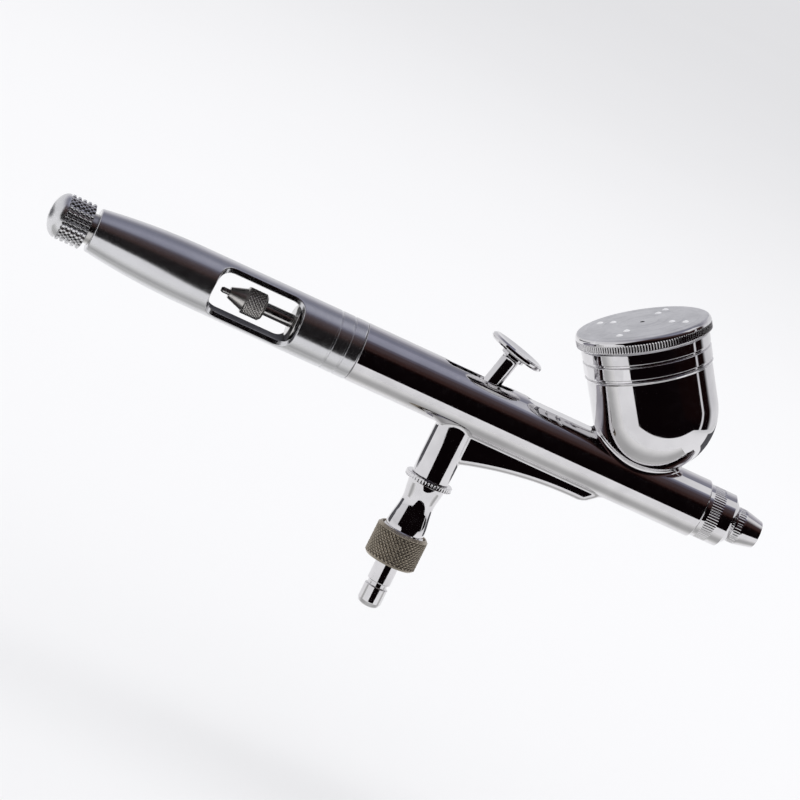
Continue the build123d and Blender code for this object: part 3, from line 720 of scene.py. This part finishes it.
def make_paint_cup():
    inner = CUP_R - CUP_WALL
    low = math.degrees(math.asin(CUP_DRAIN_R / CUP_R))
    low_inner = math.degrees(math.asin(CUP_DRAIN_R / inner))
    centre = (CUP_CENTRE_H, 0)
    points = arc(centre, CUP_R, 180 - low, 90, 40)
    band = CUP_RIM_H - CUP_BAND
    points += [(band - 0.3, CUP_R, 0.2), (band, CUP_RIM_R - 0.1, 0.2)]
    for depth in CUP_GROOVES:
        groove = CUP_RIM_H - depth
        points += [(groove - 0.32, CUP_RIM_R - 0.05, 0.16), (groove - 0.2, CUP_R - 0.1, 0.1),
                   (groove + 0.2, CUP_R - 0.1, 0.1), (groove + 0.32, CUP_RIM_R - 0.05, 0.16)]
    points += [(CUP_RIM_H - 0.5, CUP_RIM_R, 0.2), (CUP_RIM_H, CUP_RIM_R - 0.4, 0.25),
               (CUP_RIM_H, inner, 0.25)]
    points += hollow_arc(centre, inner, 90, 180 - low_inner, 40)
    return turned("cup_bowl", points, CUP_PLACE, "barrel", "chrome", "paint_cup", around=256)


LID_R = 14.0
LID_LOW_H = CUP_RIM_H + 0.03
LID_TOP_H = LID_LOW_H + 2.8
LID_SHOULDER = 0.95
LID_SHOULDER_R = LID_R - 0.05 - LID_SHOULDER
LID_CROWN = 0.35
LID_RINGS = (3.2, 5.0, 8.4, 11.6)
LID_RING_H = 0.05
LID_VENT_R = 0.5
LID_TEETH = 150
LID_PLUG_DEPTH = 2.6
LID_TOP_SLOPE = 0.85    # steeper than this the lid is polished, flatter it is satin
LID_MARK_CIRCLES = (6.8, 9.9)
LID_MARKS = 4
LID_MARK_TURN = 53.0
LID_MARK_R = 0.72
LID_MARK_H = 0.3


def lid_top(radius):
    """Height of the lid's slightly domed top with its faint turned rings."""
    rings = sum(math.exp(-((radius - ring) / 0.22) ** 2) for ring in LID_RINGS)
    dome = LID_CROWN * (1 - (radius / LID_SHOULDER_R) ** 2)
    return LID_TOP_H + dome + LID_RING_H * rings


def make_cup_lid():
    plug_r = CUP_R - CUP_WALL - 0.05
    inside_h = LID_LOW_H + 0.8
    edge_h = LID_TOP_H - LID_SHOULDER
    span = LID_SHOULDER_R - LID_VENT_R - 0.1
    plug_h = LID_LOW_H - LID_PLUG_DEPTH
    points = [(inside_h, LID_VENT_R), (inside_h, plug_r - 0.8, 0.3), (plug_h, plug_r - 0.8),
              (plug_h, plug_r, 0.2), (LID_LOW_H, plug_r), (LID_LOW_H, LID_R - 0.2, 0.1)]
    points += rule((LID_LOW_H + 0.18, LID_R), (edge_h - 0.1, LID_R), 0.2)
    points += arc((edge_h, LID_SHOULDER_R), LID_SHOULDER, 90, 0, 8)
    points += trace(lambda t: (lid_top(LID_SHOULDER_R - t * span), LID_SHOULDER_R - t * span), 90)
    points += [(lid_top(LID_VENT_R), LID_VENT_R, 0.05)]
    teeth = straight_knurl(LID_LOW_H + 0.15, edge_h - 0.1, LID_TEETH, 0.22)
    lid = turned("cup_lid_cover", points, CUP_PLACE, "lid", "lid", "cup_lid",
                 around=LID_TEETH * 4, relief=teeth)
    axis = CUP_PLACE.to_3x3().col[2].normalized()
    refinish(lid, "chrome", lambda _, normal: abs(normal.dot(axis)) < LID_TOP_SLOPE)


def make_lid_marks():
    """Raised round marks on two circles of the lid's top, near-white as painted glints."""
    ball = (LID_MARK_R ** 2 + LID_MARK_H ** 2) / (2 * LID_MARK_H)
    edge = math.degrees(math.asin(LID_MARK_R / ball))
    for circle, circle_r in enumerate(LID_MARK_CIRCLES, 1):
        base = lid_top(circle_r)
        for mark in range(LID_MARKS):
            turn = math.radians(LID_MARK_TURN + 360 * mark / LID_MARKS)
            across = (circle_r * math.cos(turn), circle_r * math.sin(turn), 0)
            points = [(base - 0.3, 0.0), (base - 0.3, LID_MARK_R, 0.05)]
            points += arc((base + LID_MARK_H - ball, 0), ball, edge, 0, 6)
            turned(f"lid_mark_{circle}_{mark + 1}", points, CUP_PLACE @ Matrix.Translation(across),
                   "lid", "mark", closed=False, around=24)


# ---------------------------------------------------------------- nose

def make_nozzle_cap():
    """Cap with a grip ring, a taper and the thread that the needle cap sits on."""
    start, end = cap_low.x, cap_high.x
    skin, shoulder, neck = cap_high.y, start + 6.0, end - 2.6
    thread_r, mouth_r, seat_r = 2.9, 0.75, 4.52
    bore_end = SPIGOT_END + 0.03
    points = [(start, skin - 0.2)] + rule((start + 0.2, skin), (shoulder, skin), 0.25)
    points += [(neck, 4.1, 0.2), (neck, thread_r)]
    turns = 5
    pitch = (end - neck - 0.4) / turns
    for turn in range(turns):
        x = neck + 0.3 + turn * pitch
        points += [(x, thread_r, 0.03), (x + pitch / 2, thread_r - 0.25, 0.03)]
    points += [(end, thread_r - 0.2, 0.1), (end, mouth_r), (end - 0.9, mouth_r, 0.05),
               (shoulder, 3.4), (bore_end, 4.0), (bore_end, seat_r), (start, seat_r)]
    grip = straight_knurl(start + 1.0, start + 3.6, 60, 0.13)
    return turned("nozzle_cap_shell", points, ALONG_NEEDLE, "barrel", "chrome", "nozzle_cap",
                  around=360, relief=grip)


def make_needle_cap():
    """Open-ended cap that guards the needle's tip."""
    low, high = extent("needle_cap")
    start, end, skin = low.x, high.x, high.y
    points = [(start, skin - 0.2), (start + 0.2, skin), (start + 2.2, skin, 0.2),
              (end, 2.9, 0.15), (end, 2.34, 0.1), (start + 2.6, 1.77, 0.05),
              (start + 2.6, 2.95), (start, 2.95)]
    grip = straight_knurl(start + 0.4, start + 1.9, 36, 0.12)
    points[2:2] = rule((start + 0.3, skin), (start + 2.0, skin), 0.2)
    return turned("needle_cap_crown", points, ALONG_NEEDLE, "crown", "chrome", "needle_cap",
                  around=216, relief=grip)


# ---------------------------------------------------------------- trigger

TRIGGER_LENGTH = 18.8
STEM_R = 1.85
FOOT_R = 1.3
FOOT_HALF_WIDTH = 1.1
NECK_R = 1.0
RIVET_R = 1.2
NEEDLE_SLOT = (3.9, 9.9, 0.85)      # slot in the stem that the needle passes through


def stem_field(x, y, z):
    """Trigger stem: cross pin at the foot, thin neck, slotted shank and a flare under the pad."""
    round_z = np.hypot(x, y)
    foot = meet(np.hypot(x, z) - FOOT_R, np.abs(y) - FOOT_HALF_WIDTH, 0.1)
    neck = np.maximum(round_z - NECK_R, slab(z, 0.0, 4.0))
    shank = meet(round_z - STEM_R, slab(z, 2.9, TRIGGER_LENGTH - 0.2), 0.35)
    flare = meet(round_z - STEM_R - 0.7, slab(z, TRIGGER_LENGTH - 0.75, TRIGGER_LENGTH), 0.12)
    rivet = np.maximum(round_z - RIVET_R, slab(z, TRIGGER_LENGTH - 1, TRIGGER_LENGTH + 0.6))
    solid = join(join(foot, neck, 0.2), shank, 0.2)
    solid = np.minimum(join(solid, flare, 0.6), rivet)
    return cut(solid, capsule(z, y, *NEEDLE_SLOT), 0.1)


def make_trigger_stem():
    xs = grid_lines((-2.9, 2.9, 0.13))
    zs = grid_lines((-1.7, 10.4, 0.14), (10.4, 17.6, 0.5), (17.6, 20.3, 0.1))
    return carved("trigger_post", stem_field, (xs, xs, zs), TRIGGER_PLACE, "trigger", "chrome",
                  "trigger_stem")


PAD_R = 6.15
PAD_DISH = 0.7


def make_trigger_pad():
    low = TRIGGER_LENGTH
    top = low + 1.6
    dish_r = PAD_R - 0.9
    ball = (dish_r ** 2 + PAD_DISH ** 2) / (2 * PAD_DISH)
    edge = math.degrees(math.asin(dish_r / ball))
    points = [(low + 0.63, 0.0), (low + 0.63, 1.22), (low, 1.22), (low, 2.4, 0.3),
              (low + 0.3, PAD_R - 0.3, 0.3), (low + 0.7, PAD_R, 0.25), (top - 0.35, PAD_R, 0.3),
              (top, PAD_R - 0.45, 0.2), (top, dish_r + 0.05, 0.15)]
    points += hollow_arc((top - PAD_DISH + ball, 0), ball, 180 - edge, 180, 16)
    return turned("trigger_button", points, TRIGGER_PLACE, "trigger", "chrome", "trigger_pad",
                  closed=False, around=160)


# ---------------------------------------------------------------- works in the window

def make_spring_case():
    low, high = extent("spring_case")
    rear, front, thread_r = low.x, high.x, high.y
    thread_rear = BARREL_REAR + 5.3
    skin, bore, guide_bore, floor_x = 4.2, 3.2, 1.45, rear + 1.8
    points = [(rear, bore, 0.2), (rear + 0.6, skin, 0.3), (thread_rear, skin),
              (thread_rear, thread_r), (front, thread_r), (front, bore), (floor_x, bore),
              (floor_x, guide_bore), (rear, guide_bore)]
    return turned("spring_sleeve", points, ALONG_NEEDLE, "barrel", "works", "spring_case")


def make_chuck_nut():
    low, high = extent("chuck_nut")
    tail, front, skin = low.x, high.x, high.y
    knurl_end, bore_end = front - 4.4, front - 3.1
    guide_bore, needle_bore = 1.42, 0.645
    points = [(tail, 1.2, 0.15), (knurl_end, 2.35, 0.1), (knurl_end, skin - 0.25, 0.05)]
    points += rule((knurl_end + 0.2, skin), (front - 0.5, skin), 0.1)
    points += [(front, skin - 0.5, 0.1), (front, guide_bore), (bore_end, guide_bore),
               (bore_end, needle_bore), (tail, needle_bore)]
    grip = diamond_knurl(knurl_end + 0.2, front - 0.5, 22, 0.8, 0.2)
    return turned("chuck_nut_knurled", points, ALONG_NEEDLE, "needle_set", "knurled", "chuck_nut",
                  around=264, relief=grip)


def make_preset_rod():
    low, high = extent("preset_rod")
    back, front, skin = low.x, high.x, high.y
    knob_front = back + 3.0
    ring_x = (extent("preset_ring")[0].x + extent("preset_ring")[1].x) / 2
    groove, groove_half, tang_r, neck_r, neck_x = skin - 0.7, 0.7, 1.6, 2.2, front - 5.0
    bore, bore_end = 0.925, front - 12
    points = [(back, 0.0), (back, tang_r), (knob_front, tang_r), (knob_front, skin, 0.15),
              (ring_x - groove_half, skin), (ring_x - groove_half, groove),
              (ring_x + groove_half, groove), (ring_x + groove_half, skin), (neck_x, skin),
              (neck_x, neck_r), (front - 0.4, neck_r, 0.1), (front, 1.8, 0.1), (front, bore),
              (bore_end, bore), (bore_end, 0.0)]
    return turned("preset_screw_rod", points, ALONG_NEEDLE, "preset_screw", "works", "preset_rod",
                  closed=False)


KNOB_RINGS = 5
KNOB_PITCH = 1.12
KNOB_CUT = 0.45         # depth of the grooves between the rings
KNOB_FLUTES = 26


def make_preset_knob():
    low, high = extent("preset_knob")
    rear, front, skin = low.x, high.x, high.y
    rings_end = front - KNOB_RINGS * KNOB_PITCH
    low_r = skin - KNOB_CUT
    dome_r, dome = skin - 0.1, rings_end - rear
    points = []
    for step in range(25):
        angle = math.radians(90 * step / 24)
        normal = unit(np.array((-math.cos(angle) / dome, math.sin(angle) / dome_r)))
        points.append((rings_end - dome * math.cos(angle), dome_r * math.sin(angle), *normal))
    for ring in range(KNOB_RINGS):
        x = rings_end + ring * KNOB_PITCH
        points += [(x, low_r, 0.05), (x + 0.25, low_r, 0.05)]
        points += [(x + 0.4, skin, 0.08), (x + 0.9, skin, 0.08), (x + 1.05, low_r, 0.05)]
    bore, bore_end = 1.65, front - 3.0
    points += [(front, skin - 0.6, 0.1), (front, bore), (bore_end, bore), (bore_end, 0.0)]
    grip = straight_knurl(rings_end + 0.1, front - 0.02, KNOB_FLUTES, 0.42)
    return turned("preset_knob_turned", points, ALONG_NEEDLE, "knob", "grip", "preset_knob",
                  closed=False, around=KNOB_FLUTES * 12, relief=grip)


# ---------------------------------------------------------------- air valve and plug

FLANGE_TEETH = 44
HOSE_THREAD_R = 4.75
THREAD_R = PISTON_BORE_R - 0.02
VALVE_BORE = ((-16.4, 1.6), (-20.4, 1.15), (-31.0, 2.1))    # lower end and radius of each step
BELL_R = 4.2
SHOULDER_R = 3.95
WAIST_R = 3.45


def make_valve_body():
    low, high = extent("valve_body")
    bottom = low.z
    flange_top, flange_r = BOSS_BOTTOM - 0.03, high.y
    flange_low = flange_top - 1.17
    bell_low = bottom + 4.7
    waist_z = flange_low - 4.4

    def waisted(t):
        """The casing's skin from its bell up to its shoulder, by way of the waist."""
        z = bell_low + 0.35 + t * (flange_low - bell_low - 0.35)
        end_z, end_r = (flange_low, SHOULDER_R) if z > waist_z else (bell_low, BELL_R)
        swing = (z - waist_z) / (end_z - waist_z)
        return z, WAIST_R + (end_r - WAIST_R) * (1 - math.cos(math.pi * swing)) / 2

    points = [(bottom, HOSE_THREAD_R - 0.5), (bottom + 0.5, HOSE_THREAD_R),
              (bell_low - 0.7, HOSE_THREAD_R), (bell_low, BELL_R)]
    points += trace(waisted, 48)
    points += [(flange_low, SHOULDER_R), (flange_low, flange_r - 0.15, 0.05)]
    points += rule((flange_low + 0.12, flange_r), (flange_top - 0.12, flange_r), 0.15)
    points += [(flange_top, flange_r - 0.15, 0.05), (flange_top, THREAD_R), (high.z, THREAD_R)]
    top = high.z
    for step_low, step_r in VALVE_BORE:
        points += [(top, step_r), (step_low, step_r)]
        top = step_low
    points += [(top, PISTON_BORE_R), (bottom, PISTON_BORE_R)]
    grip = straight_knurl(flange_low + 0.2, flange_top - 0.2, FLANGE_TEETH, 0.16)
    return turned("valve_casing", points, DOWN_VALVE, "barrel", "chrome", "valve_body",
                  around=FLANGE_TEETH * 6, relief=grip)


COLLAR_TEETH = 36


def make_plug_collar():
    low, high = extent("plug_collar")
    bottom, top, skin = low.z, high.z, high.y
    points = [(bottom, skin - 0.5, 0.1)] + rule((bottom + 0.5, skin), (top - 0.5, skin), 0.11)
    wall_top, thread_r, neck_r = bottom + 0.9, HOSE_THREAD_R + 0.02, 3.0
    points += [(top, skin - 0.5, 0.1), (top, thread_r), (wall_top, thread_r), (wall_top, neck_r),
               (bottom, neck_r)]
    grip = diamond_knurl(bottom + 0.5, top - 0.5, COLLAR_TEETH, 0.92, 0.24)
    return turned("plug_collar_knurled", points, DOWN_VALVE, "barrel", "collar", "plug_collar",
                  around=COLLAR_TEETH * 10, relief=grip)


def make_plug_nipple():
    """Nipple with a round groove for the coupler's balls and a flange inside the collar."""
    low, high = extent("plug_nipple")
    tip, top, flange_r = low.z, high.z, high.y
    wall, hub, waist, bore = 2.5, 2.95, 2.1, 1.3
    wall_end, hub_end = tip + 1.0, tip + 9.7
    groove_low, groove_top = tip + 4.4, tip + 5.4
    flange_low = extent("plug_collar")[0].z + 0.93
    points = [(tip, wall - 0.8, 0.1), (tip + 0.3, wall - 0.35, 0.3), (wall_end, wall, 0.4),
              (groove_low, wall, 0.15), (groove_low, waist, 0.1), (groove_top, waist, 0.1),
              (groove_top, wall, 0.15), (hub_end, wall), (hub_end, hub, 0.1), (flange_low, hub),
              (flange_low, flange_r), (top, flange_r), (top, bore), (tip, bore, 0.15)]
    return turned("plug_nipple_turned", points, DOWN_VALVE, "barrel", "chrome", "plug_nipple")


for make in (make_body, make_handle, make_paint_cup, make_cup_lid, make_lid_marks, make_nozzle_cap,
             make_needle_cap, make_trigger_stem, make_trigger_pad, make_spring_case,
             make_chuck_nut, make_preset_rod, make_preset_knob, make_valve_body,
             make_plug_collar, make_plug_nipple):
    make()


# ---------------------------------------------------------------- kept CAD nodes

FINISH_OF_SLOT = {"chrome": "chrome", "satin": "satin", "collar": "collar", "brass": "brass",
                  "chromed_works": "works", "steel": "steel", "ptfe": "ptfe", "rubber": "rubber"}
for cad_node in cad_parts.values():
    for place in cad_node.material_slots:
        place.material = MATERIALS[FINISH_OF_SLOT[place.material.name.split(".")[0]]]


# ---------------------------------------------------------------- studio

PALE = (0.88, 0.88, 0.885)
BACKDROP = (0.93, 0.93, 0.94)
SKY_LIGHT = (0.86, 0.86, 0.875)
CARD = (0.003, 0.0015, 0.002)
EDGE_CARD = (0.10, 0.10, 0.11)
FLOOR_DROP = 0.035      # the gun is held a little above the floor
FLOOR_REACH = 14.0
SHADE_HALF = 50         # half width of the shaded strip

# What polished metal sees, from the horizon (0) to overhead (1): a dark side that the gun
# faces, from left to right of the camera, and a pale one round the rest of the room.
DARK_SIDE = ((0.0, CARD), (0.40, (0.006, 0.002, 0.002)), (0.55, (0.04, 0.02, 0.018)),
             (0.78, (0.07, 0.05, 0.055)), (0.86, (0.11, 0.10, 0.13)),
             (0.93, (0.29, 0.295, 0.37)), (1.0, (0.34, 0.345, 0.43)))
PALE_SIDE = ((0.0, (0.80, 0.80, 0.82)), (0.50, (0.74, 0.74, 0.77)), (0.67, (0.54, 0.53, 0.58)),
             (0.85, (0.28, 0.28, 0.33)), (0.95, (0.22, 0.225, 0.29)), (1.0, (0.28, 0.285, 0.36)))
DARK_FROM, DARK_TO = -58.0, 112.0   # degrees about the vertical, from straight ahead
GAP_AT, GAP_HALF = 88.0, 2.5        # upright bright slit in the dark side, in degrees
SOFTBOX = (0.84, 0.84, 0.86)        # overhead, a little to the right
SOFTBOX_X = (0.21, 0.60)
SOFTBOX_HALF_Y = 0.26
SHADE = 0.48            # brightness of the floor straight under the gun, as the metal sees it


def make_floor():
    """Wide plain floor under the gun."""
    reach, height = FLOOR_REACH, cad_box[0].z - FLOOR_DROP
    mesh = bpy.data.meshes.new("floor")
    corners = [(-reach, -reach, height), (reach, -reach, height), (reach, reach, height),
               (-reach, reach, height)]
    mesh.from_pydata(corners, [], [(0, 1, 2, 3)])
    floor = add_object("floor", mesh)
    material = bpy.data.materials.new("floor")
    material.use_nodes = True
    tree = material.node_tree
    shader = tree.nodes["Principled BSDF"]
    where = (node(tree, "ShaderNodeTexCoord"), "Object")
    tone = mix_colour(tree, noise(tree, where, 3.0), PALE, tuple(c * 0.98 for c in PALE))
    link(tree, tone, shader.inputs["Base Color"])
    shader.inputs["Roughness"].default_value = 0.9
    shader.inputs["Specular IOR Level"].default_value = 0.0
    mesh.materials.append(material)


CAMERA_RIGHT = Vector((0.89342, -0.09836, 0.43833))
CAMERA_UP = Vector((-0.40990, 0.22056, 0.88503))
CAMERA_BACK = Vector((-0.18374, -0.97040, 0.15672))
CAMERA_PLACE = Vector((-0.1787, -0.8766, 0.1775))
CAMERA_LENS = 200.9


def make_camera():
    data = bpy.data.cameras.new("camera")
    data.lens = CAMERA_LENS
    camera = add_object("camera", data)
    turn = Matrix((CAMERA_RIGHT, CAMERA_UP, CAMERA_BACK)).transposed().to_4x4()
    camera.matrix_world = Matrix.Translation(CAMERA_PLACE) @ turn
    bpy.context.scene.camera = camera


def ramp(tree, value, stops):
    """Colour ramp through (place, colour) stops."""
    made = node(tree, "ShaderNodeValToRGB", Fac=value)
    band = made.color_ramp
    band.interpolation = "EASE"
    for place, colour in stops[1:-1]:
        band.elements.new(place).color = (*colour, 1)
    band.elements[0].color = (*stops[0][1], 1)
    band.elements[-1].color = (*stops[-1][1], 1)
    return made, 0


def make_world():
    """Pale studio for the eye, even light for the floor, and a half-dark room for reflections."""
    world = bpy.data.worlds.new("studio")
    bpy.context.scene.world = world
    world.use_nodes = True
    tree = world.node_tree
    tree.nodes.clear()
    direction = node(tree, "ShaderNodeTexCoord")
    split = node(tree, "ShaderNodeSeparateXYZ", Vector=(direction, "Generated"))
    ahead = maths(tree, "MULTIPLY", (split, 1), -1.0)
    turn = maths(tree, "ARCTAN2", (split, 0), ahead)
    turn = maths(tree, "MULTIPLY", turn, 180 / math.pi)
    dark = maths(tree, "MULTIPLY", remap(tree, turn, DARK_FROM - 6, DARK_FROM + 6),
                 remap(tree, turn, DARK_TO + 6, DARK_TO - 6))
    off_gap = maths(tree, "ABSOLUTE", maths(tree, "SUBTRACT", turn, GAP_AT))
    dark = maths(tree, "MULTIPLY", dark, remap(tree, off_gap, GAP_HALF - 1, GAP_HALF + 1))
    room = mix_colour(tree, dark, ramp(tree, (split, 2), PALE_SIDE),
                      ramp(tree, (split, 2), DARK_SIDE))
    near, far = SOFTBOX_X
    box = maths(tree, "MULTIPLY", remap(tree, (split, 0), near - 0.02, near + 0.02),
                remap(tree, (split, 0), far + 0.03, far - 0.03))
    off_middle = maths(tree, "ABSOLUTE", (split, 1))
    box = maths(tree, "MULTIPLY", box,
                remap(tree, off_middle, SOFTBOX_HALF_Y + 0.04, SOFTBOX_HALF_Y - 0.04))
    box = maths(tree, "MULTIPLY", box, remap(tree, (split, 2), 0.4, 0.6))
    room = mix_colour(tree, box, room, SOFTBOX)
    ray = node(tree, "ShaderNodeLightPath")
    lit = mix_colour(tree, (ray, "Is Glossy Ray"), SKY_LIGHT, room)
    seen = mix_colour(tree, (ray, "Is Camera Ray"), lit, BACKDROP)
    back = node(tree, "ShaderNodeBackground", Color=seen, Strength=1.0)
    output = node(tree, "ShaderNodeOutputWorld")
    link(tree, (back, 0), output.inputs[0])


def make_card(name, corners, colour):
    """Card beside the gun that only its reflections show."""
    mesh = bpy.data.meshes.new(name)
    mesh.from_pydata([GUN @ Vector(corner) for corner in corners], [], [range(len(corners))])
    card = add_object(name, mesh)
    material = bpy.data.materials.new(name)
    material.use_nodes = True
    tree = material.node_tree
    tree.nodes.clear()
    glow = node(tree, "ShaderNodeEmission", Color=(*colour, 1), Strength=1.0)
    output = node(tree, "ShaderNodeOutputMaterial")
    link(tree, (glow, 0), output.inputs[0])
    mesh.materials.append(material)
    card.visible_camera = False
    card.visible_diffuse = False
    card.visible_shadow = False
    return tree, glow


def ease(value, start, end):
    """0 before start, 1 past end, smooth between."""
    t = min(max((value - start) / (end - start), 0), 1)
    return t * t * (3 - 2 * t)


def make_cards():
    """Dark card in front, one behind each end, and the shade on the floor under the gun.

    The front card's lower edge is higher beside the handle and past the nose."""
    front_y, top, edge_top = -130, 50, -12
    left, right = -210, 1500
    edge = [(left, top)]
    for x in (*range(left, 600, 6), right):
        edge.append((x, -34 - 46 * ease(x, -85, -25) + 80 * ease(x, 30, 480)))
    edge.append((right, top))
    make_card("card_front", [(x, front_y, min(z, top)) for x, z in edge], CARD)
    floor_z = (GUN.inverted() @ Vector((0, 0, cad_box[0].z - FLOOR_DROP))).z + 0.5
    for name, near, far in (("card_left", (-360, 170), (-200, 350)),
                            ("card_right", (360, 170), (200, 350))):
        make_card(name, [(*near, floor_z), (*far, floor_z), (*far, edge_top), (*near, edge_top)],
                  EDGE_CARD)
    strip = [(x, y, floor_z) for x, y in ((-200, -SHADE_HALF), (200, -SHADE_HALF),
                                          (200, SHADE_HALF), (-200, SHADE_HALF))]
    tree, glow = make_card("floor_shade", strip, PALE)
    where = (node(tree, "ShaderNodeTexCoord"), "Object")
    off = maths(tree, "ABSOLUTE", (node(tree, "ShaderNodeSeparateXYZ", Vector=where), 1))
    tone = remap(tree, off, 0.006, SHADE_HALF * MM, SHADE, PALE[0])
    link(tree, tone, glow.inputs["Color"])


LIGHT_FROM = Vector((0.3, 0.5, 1.6))
LIGHT_SIZE = (1.6, 1.2)
LIGHT_POWER = 9


def make_light():
    """Soft light over the gun that the metal doesn't show."""
    data = bpy.data.lights.new("overhead", "AREA")
    data.shape = "RECTANGLE"
    data.size, data.size_y = LIGHT_SIZE
    data.energy = LIGHT_POWER
    light = add_object("overhead", data)
    light.visible_glossy = False
    middle = (cad_box[0] + cad_box[1]) / 2
    light.location = middle + LIGHT_FROM
    light.rotation_mode = "QUATERNION"
    light.rotation_quaternion = (middle - light.location).to_track_quat("-Z", "Y")


make_floor()
make_camera()
make_world()
make_light()
make_cards()

bpy.context.scene.view_settings.view_transform = "Standard"
